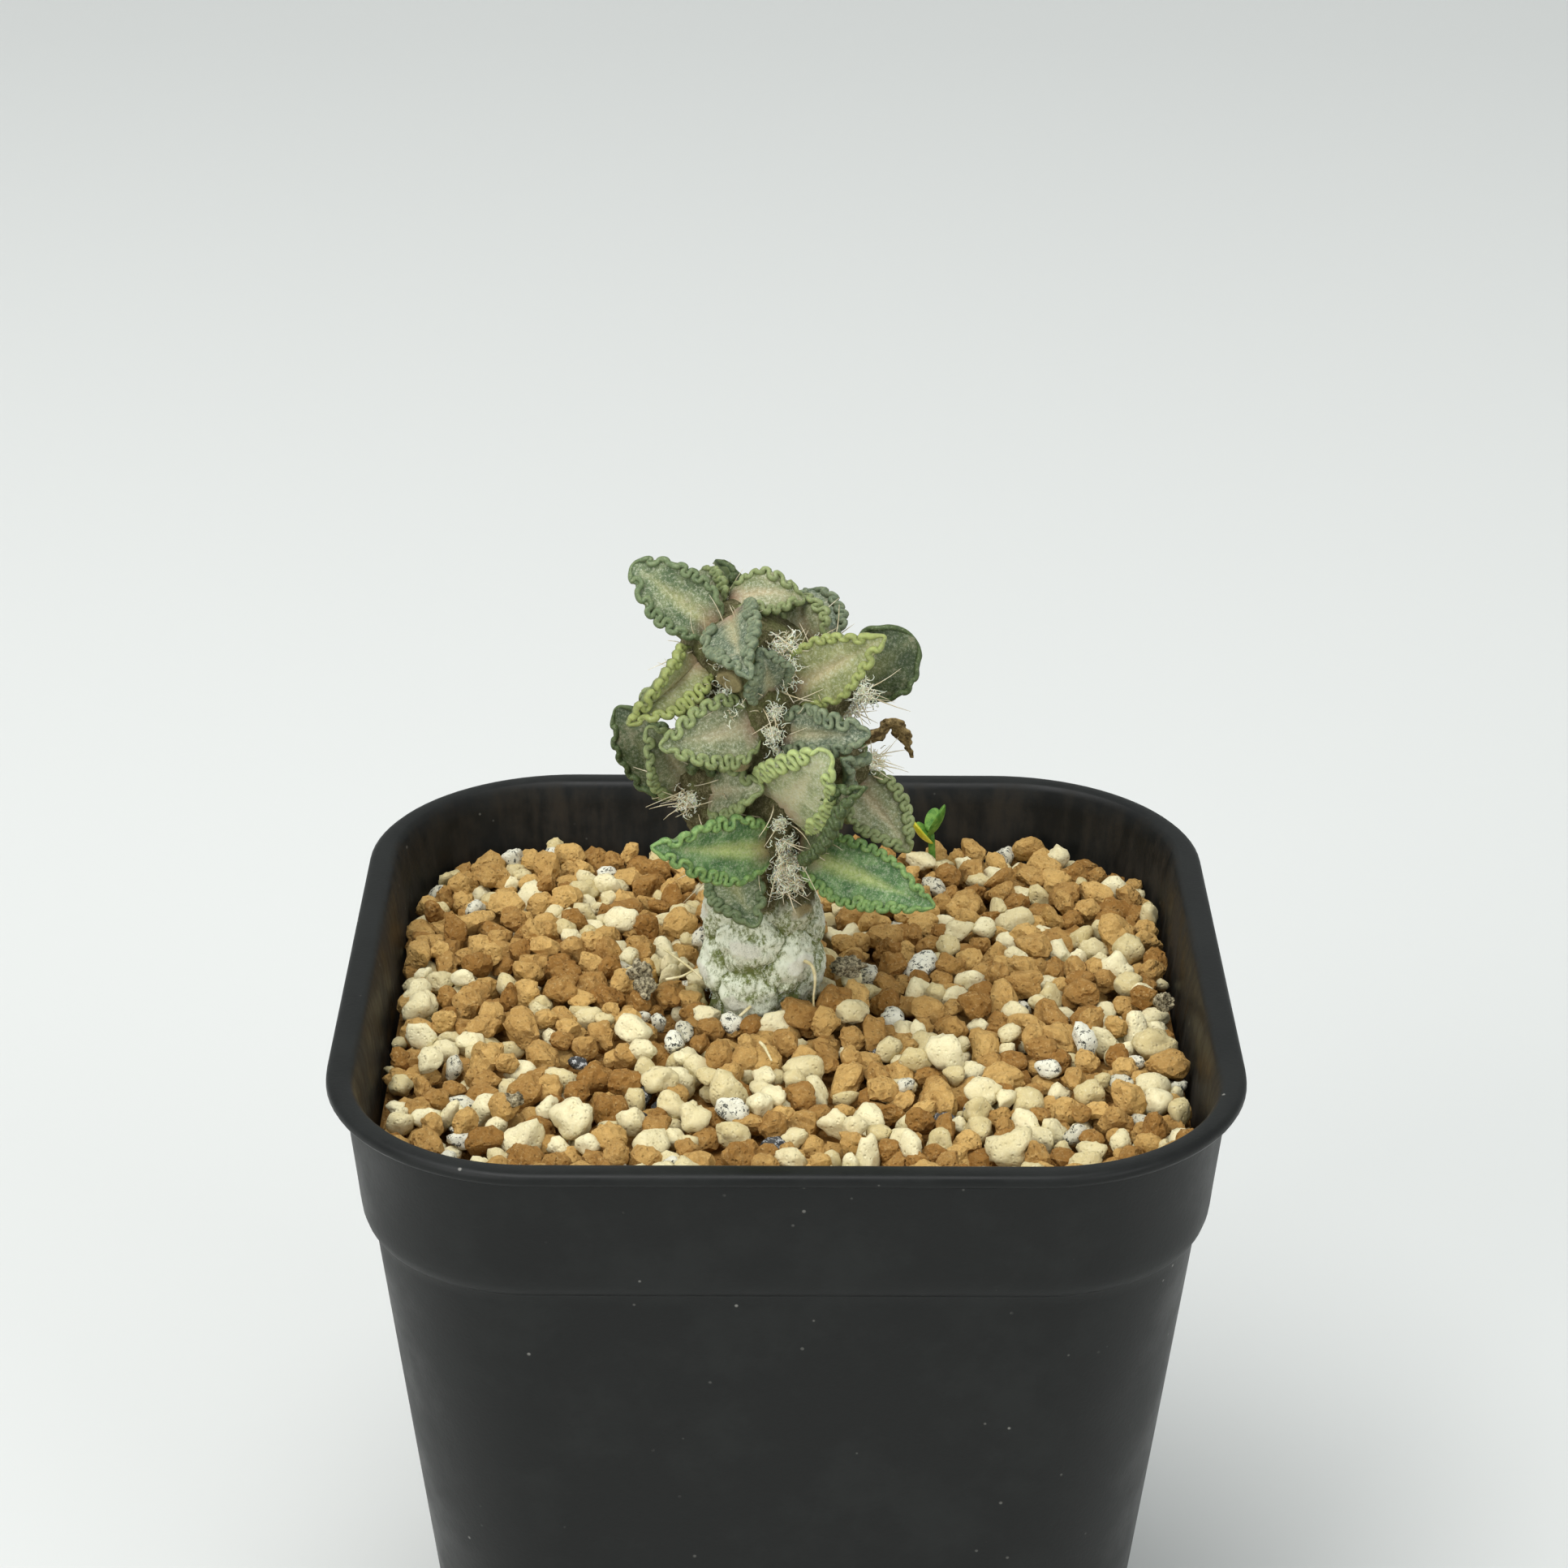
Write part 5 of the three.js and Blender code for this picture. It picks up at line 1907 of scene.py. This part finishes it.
@dataclass
class Litter:
    """Dry root threads and crumbs of old flowers on the bed."""

    thread: PlainFinish = PlainFinish(
        "dry_root", shown(196, 182, 132), shown(226, 216, 176), 0.8, 0.5, 0.05
    )
    crumb: PlainFinish = PlainFinish("dry_crumb", shown(70, 62, 46), shown(196, 184, 150), 0.95, 0.35, 0.3)
    threads: tuple[tuple[tuple[float, float, float], ...], ...] = (
        (
            (1.6, -0.6, -0.2),
            (2.3, -1.5, 0.0),
            (2.6, -1.9, -1.4),
            (2.3, -2.0, -3.0),
            (2.5, -2.1, -4.4),
            (1.9, -2.4, -5.6),
        ),
        (
            (-3.0, -1.9, -3.9),
            (-4.3, -2.6, -4.9),
            (-5.4, -2.9, -5.4),
            (-6.3, -3.2, -5.6),
            (-7.0, -3.0, -6.0),
        ),
        ((-10.6, 3.5, -1.2), (-9.2, 3.0, -2.0), (-8.0, 2.2, -2.6), (-7.2, 1.4, -3.0)),
        ((-10.4, 2.4, -3.6), (-9.0, 2.2, -3.2), (-8.0, 2.2, -2.6)),
        ((-2.2, -7.6, -4.3), (-1.8, -8.3, -4.4), (-1.2, -9.8, -4.9)),
    )
    crumbs: tuple[tuple[float, float, float, float], ...] = (
        (5.4, 4.6, -3.4, 0.95),
        (-12.6, 3.4, -3.4, 0.75),
        (-12.3, 1.6, -4.0, 0.7),
        (32.6, -1.0, -3.8, 0.8),
        (-22.5, -17.5, -4.4, 0.5),
    )
    seed: int = 21
    thread_thick: float = 0.14
    thread_steps: int = 36
    crumb_level: int = 4

    def build(self) -> None:
        """Makes the threads and the crumbs."""
        draw = np.random.default_rng(self.seed)
        threads = []
        for knots in self.threads:
            line = eased_line(np.array(knots), self.thread_steps, 12) + [0, 0, RIM]
            radius = self.thread_thick * (1 + 0.35 * cell_noise(line, 0.9, 6))
            threads.append(tube(line, radius * np.linspace(1.0, 0.7, self.thread_steps), 7))
        Skin.joined(threads).piece("dry_roots", self.thread.material(), "granules")
        crumbs = []
        for x, y, height, size in self.crumbs:
            ball = ball_skin(self.crumb_level)
            away = draw.uniform(-50, 50, 3)
            lumps = 0.45 * fractal_noise(ball.points + away, 0.7, 4, 2)
            points = ball.points * (1 + lumps)[:, None] * size * np.exp(draw.normal(0, 0.2, 3))
            crumbs.append(Skin(points + [x, y, RIM + height], ball.faces))
        Skin.joined(crumbs).piece("dry_crumbs", self.crumb.material(), "granules")


@dataclass
class WitheredLeaf:
    """Dead leaf, curled over, on the right of the stem."""

    finish: PlainFinish = PlainFinish(
        "withered_leaf_skin", shown(70, 55, 32), shown(158, 136, 92), 0.85, 0.6, 0.3
    )
    steps: int = 70
    sides: int = 22
    flat: float = 0.32
    crumpling: float = 0.9
    path: tuple[tuple[float, float, float], ...] = (
        (5.0, 2.2, 19.4),
        (6.3, 1.3, 19.2),
        (7.2, 1.0, 20.1),
        (8.1, 0.8, 21.4),
        (8.9, 0.7, 21.7),
        (9.6, 0.9, 20.9),
        (10.1, 1.1, 19.7),
        (10.5, 1.2, 18.2),
    )
    widths: tuple[float, ...] = (0.12, 0.3, 0.95, 0.85, 0.7, 0.75, 0.7, 0.15)

    def build(self) -> None:
        """Makes the withered leaf."""
        line = eased_line(np.array(self.path) + [0, 0, RIM], self.steps, 14)
        marks = np.linspace(0, 1, len(self.widths))
        width = np.interp(np.linspace(0, 1, self.steps), marks, self.widths)
        rod = tube(line, width, self.sides, self.flat)
        crumple = fractal_noise(rod.points, 0.9, 3, 4)[:, None]
        away = rod.points - np.append(np.repeat(line, self.sides, axis=0), line[[0, -1]], axis=0)
        leaf = Skin(rod.points + away * crumple * self.crumpling, rod.faces)
        leaf.piece("withered_leaf_skin", self.finish.material(), "dry_leaf", "withered_leaf")


@dataclass
class Seedling:
    """Weed seedling at the back of the bed."""

    green: PlainFinish = PlainFinish("seedling_green", shown(70, 116, 44), shown(116, 156, 70), 0.5)
    yellow: PlainFinish = PlainFinish("seedling_yellow", shown(190, 186, 50), shown(222, 214, 90), 0.5)
    foot: tuple[float, float] = (13.6, 31.0)
    surface: float = 69.3
    stalk: tuple[float, float] = (66.5, 71.8)
    stalk_steps: int = 9
    blades: tuple[tuple[float, float, float, float, float], ...] = (
        (-15, 66, 3.6, 1.25, 2.2),
        (70, 50, 2.4, 0.8, 2.6),
        (150, 35, 2.0, 0.7, 2.0),
    )

    def blade(self, turn: float, rise: float, length: float, half: float, lift: float) -> Skin:
        """One small oval leaf.

        Args:
            turn: turn that it points to, in degrees.
            rise: how steeply it points up, in degrees.
            length: its length.
            half: its half-width.
            lift: height of its root over the bed.

        Returns:
            The leaf's skin.
        """
        ball = ball_skin(3)
        points = ball.points * [length / 2, half, 0.28]
        points[:, 2] += 0.25 * (points[:, 0] / length * 2) ** 2 + 0.3 * points[:, 1] ** 2
        points[:, 0] += length / 2
        tilt = Matrix.Rotation(math.radians(-rise), 3, "Y")
        lay = np.array(Matrix.Rotation(math.radians(turn), 3, "Z") @ tilt)
        return Skin(points @ lay.T + [*self.foot, self.surface + lift], ball.faces)

    def build(self) -> None:
        """Makes the seedling."""
        low, high = (np.array([*self.foot, height]) for height in self.stalk)
        path = low + np.linspace(0, 1, self.stalk_steps)[:, None] * (high - low)
        path[:, 0] += 0.15 * np.sin(np.linspace(0, 3, self.stalk_steps))
        green = [tube(path, np.linspace(0.42, 0.3, self.stalk_steps), 10)]
        green += [self.blade(*blade) for blade in self.blades]
        Skin.joined(green).piece("seedling_shoot", self.green.material(), "sprout_green", "seedling")
        yellow = self.blade(195, 52, 3.2, 0.9, 1.4)
        yellow.piece("seedling_old_leaf", self.yellow.material(), "sprout_green", "seedling")


@dataclass
class Studio:
    """Pale ground that curves up at the back, soft lights, and the camera."""

    ground: Colour = (0.655, 0.665, 0.645)
    camera_place: tuple[float, float, float] = (-1.54, -309.08, 234.51)
    pitch: float = 0.434
    yaw: float = 0.0042
    roll: float = 0.0053
    focal_pixels: float = 4983.4
    frame_pixels: float = 1932.0
    aim: tuple[float, float, float] = (0.0, 0.0, 0.08)
    lamp_size: float = 0.7
    sky_colour: Colour = (0.93, 0.97, 1.0)
    sky_strength: float = 0.60

    def floor(self) -> None:
        """Makes the ground."""
        depth = [-3.0, -1.0, 0.6, 1.0, 1.3, 1.5, 1.58, 1.6, 1.6]
        height = [0.0, 0.0, 0.0, 0.02, 0.12, 0.34, 0.62, 1.0, 3.0]
        across = np.linspace(-3, 3, 3)
        points = np.array([[x, y, z] for y, z in zip(depth, height) for x in across])
        mesh = bpy.data.meshes.new("ground")
        mesh.from_pydata(points.tolist(), [], grid_faces(len(depth), 3).tolist())
        mesh.polygons.foreach_set("use_smooth", np.ones(len(mesh.polygons), dtype=bool))
        paint = Paint("pale_ground")
        mesh.materials.append(paint.finish(Base_Color=self.ground, Roughness=0.9))
        ground = bpy.data.objects.new("ground", mesh)
        bpy.context.scene.collection.objects.link(ground)

    def lamp(self, name: str, place: tuple[float, float, float], power: float, tint: Colour) -> None:
        """Adds one square soft light aimed at the plant.

        Args:
            name: the light's name.
            place: where it hangs, in metres.
            power: its power in watts.
            tint: its colour.
        """
        data = bpy.data.lights.new(name, "AREA")
        data.size = self.lamp_size
        data.energy = power
        data.color = tint
        lamp = bpy.data.objects.new(name, data)
        lamp.location = place
        aim = Vector(self.aim) - Vector(place)
        lamp.rotation_euler = aim.to_track_quat("-Z", "Y").to_euler()
        bpy.context.scene.collection.objects.link(lamp)

    def lights(self) -> None:
        """Adds the soft lights and the pale surroundings."""
        self.lamp("overhead", (-0.2, -0.12, 0.95), 7.4, (1.0, 1.0, 1.0))
        self.lamp("front_left", (-0.8, -0.9, 0.6), 6.4, (1.0, 0.99, 0.97))
        self.lamp("front_right", (0.8, -0.8, 0.55), 4.0, (0.98, 1.0, 1.0))
        world = bpy.data.worlds.new("surroundings")
        world.use_nodes = True
        sky = world.node_tree.nodes["Background"]
        sky.inputs["Color"].default_value = (*self.sky_colour, 1.0)
        sky.inputs["Strength"].default_value = self.sky_strength
        bpy.context.scene.world = world

    def camera(self) -> None:
        """Sets up the camera at the photograph's viewing angle."""
        level = math.cos(self.pitch)
        ahead = np.array([math.sin(self.yaw) * level, math.cos(self.yaw) * level, -math.sin(self.pitch)])
        right = np.array([math.cos(self.yaw), -math.sin(self.yaw), 0.0])
        above = np.cross(right, ahead)
        turned = right * math.cos(self.roll) + above * math.sin(self.roll)
        upward = above * math.cos(self.roll) - right * math.sin(self.roll)
        data = bpy.data.cameras.new("camera")
        data.sensor_width = 36.0
        data.lens = self.focal_pixels / self.frame_pixels * data.sensor_width
        data.clip_start = 0.01
        camera = bpy.data.objects.new("camera", data)
        turn = Matrix(np.column_stack([turned, upward, -ahead])).to_4x4()
        camera.matrix_world = Matrix.Translation(np.array(self.camera_place) * MM) @ turn
        bpy.context.scene.collection.objects.link(camera)
        bpy.context.scene.camera = camera

    def build(self) -> None:
        """Sets the whole studio."""
        self.floor()
        self.lights()
        self.camera()
        bpy.context.scene.view_settings.view_transform = "Standard"


def main() -> None:
    """Builds every piece in order."""
    logging.basicConfig(level=logging.INFO, format="%(name)s: %(message)s")
    Studio().build()
    Pot().build()
    stem = Stem()
    stem.build()
    GranuleBed().build()
    Litter().build()
    materials = {tone: tone.value.material() for tone in Tone}
    for number, leaf in enumerate(LEAVES, start=1):
        leaf.build(stem, number, materials[leaf.tone])
    Fluff().build(stem)
    WitheredLeaf().build()
    Seedling().build()


if __name__ == "__main__":
    main()
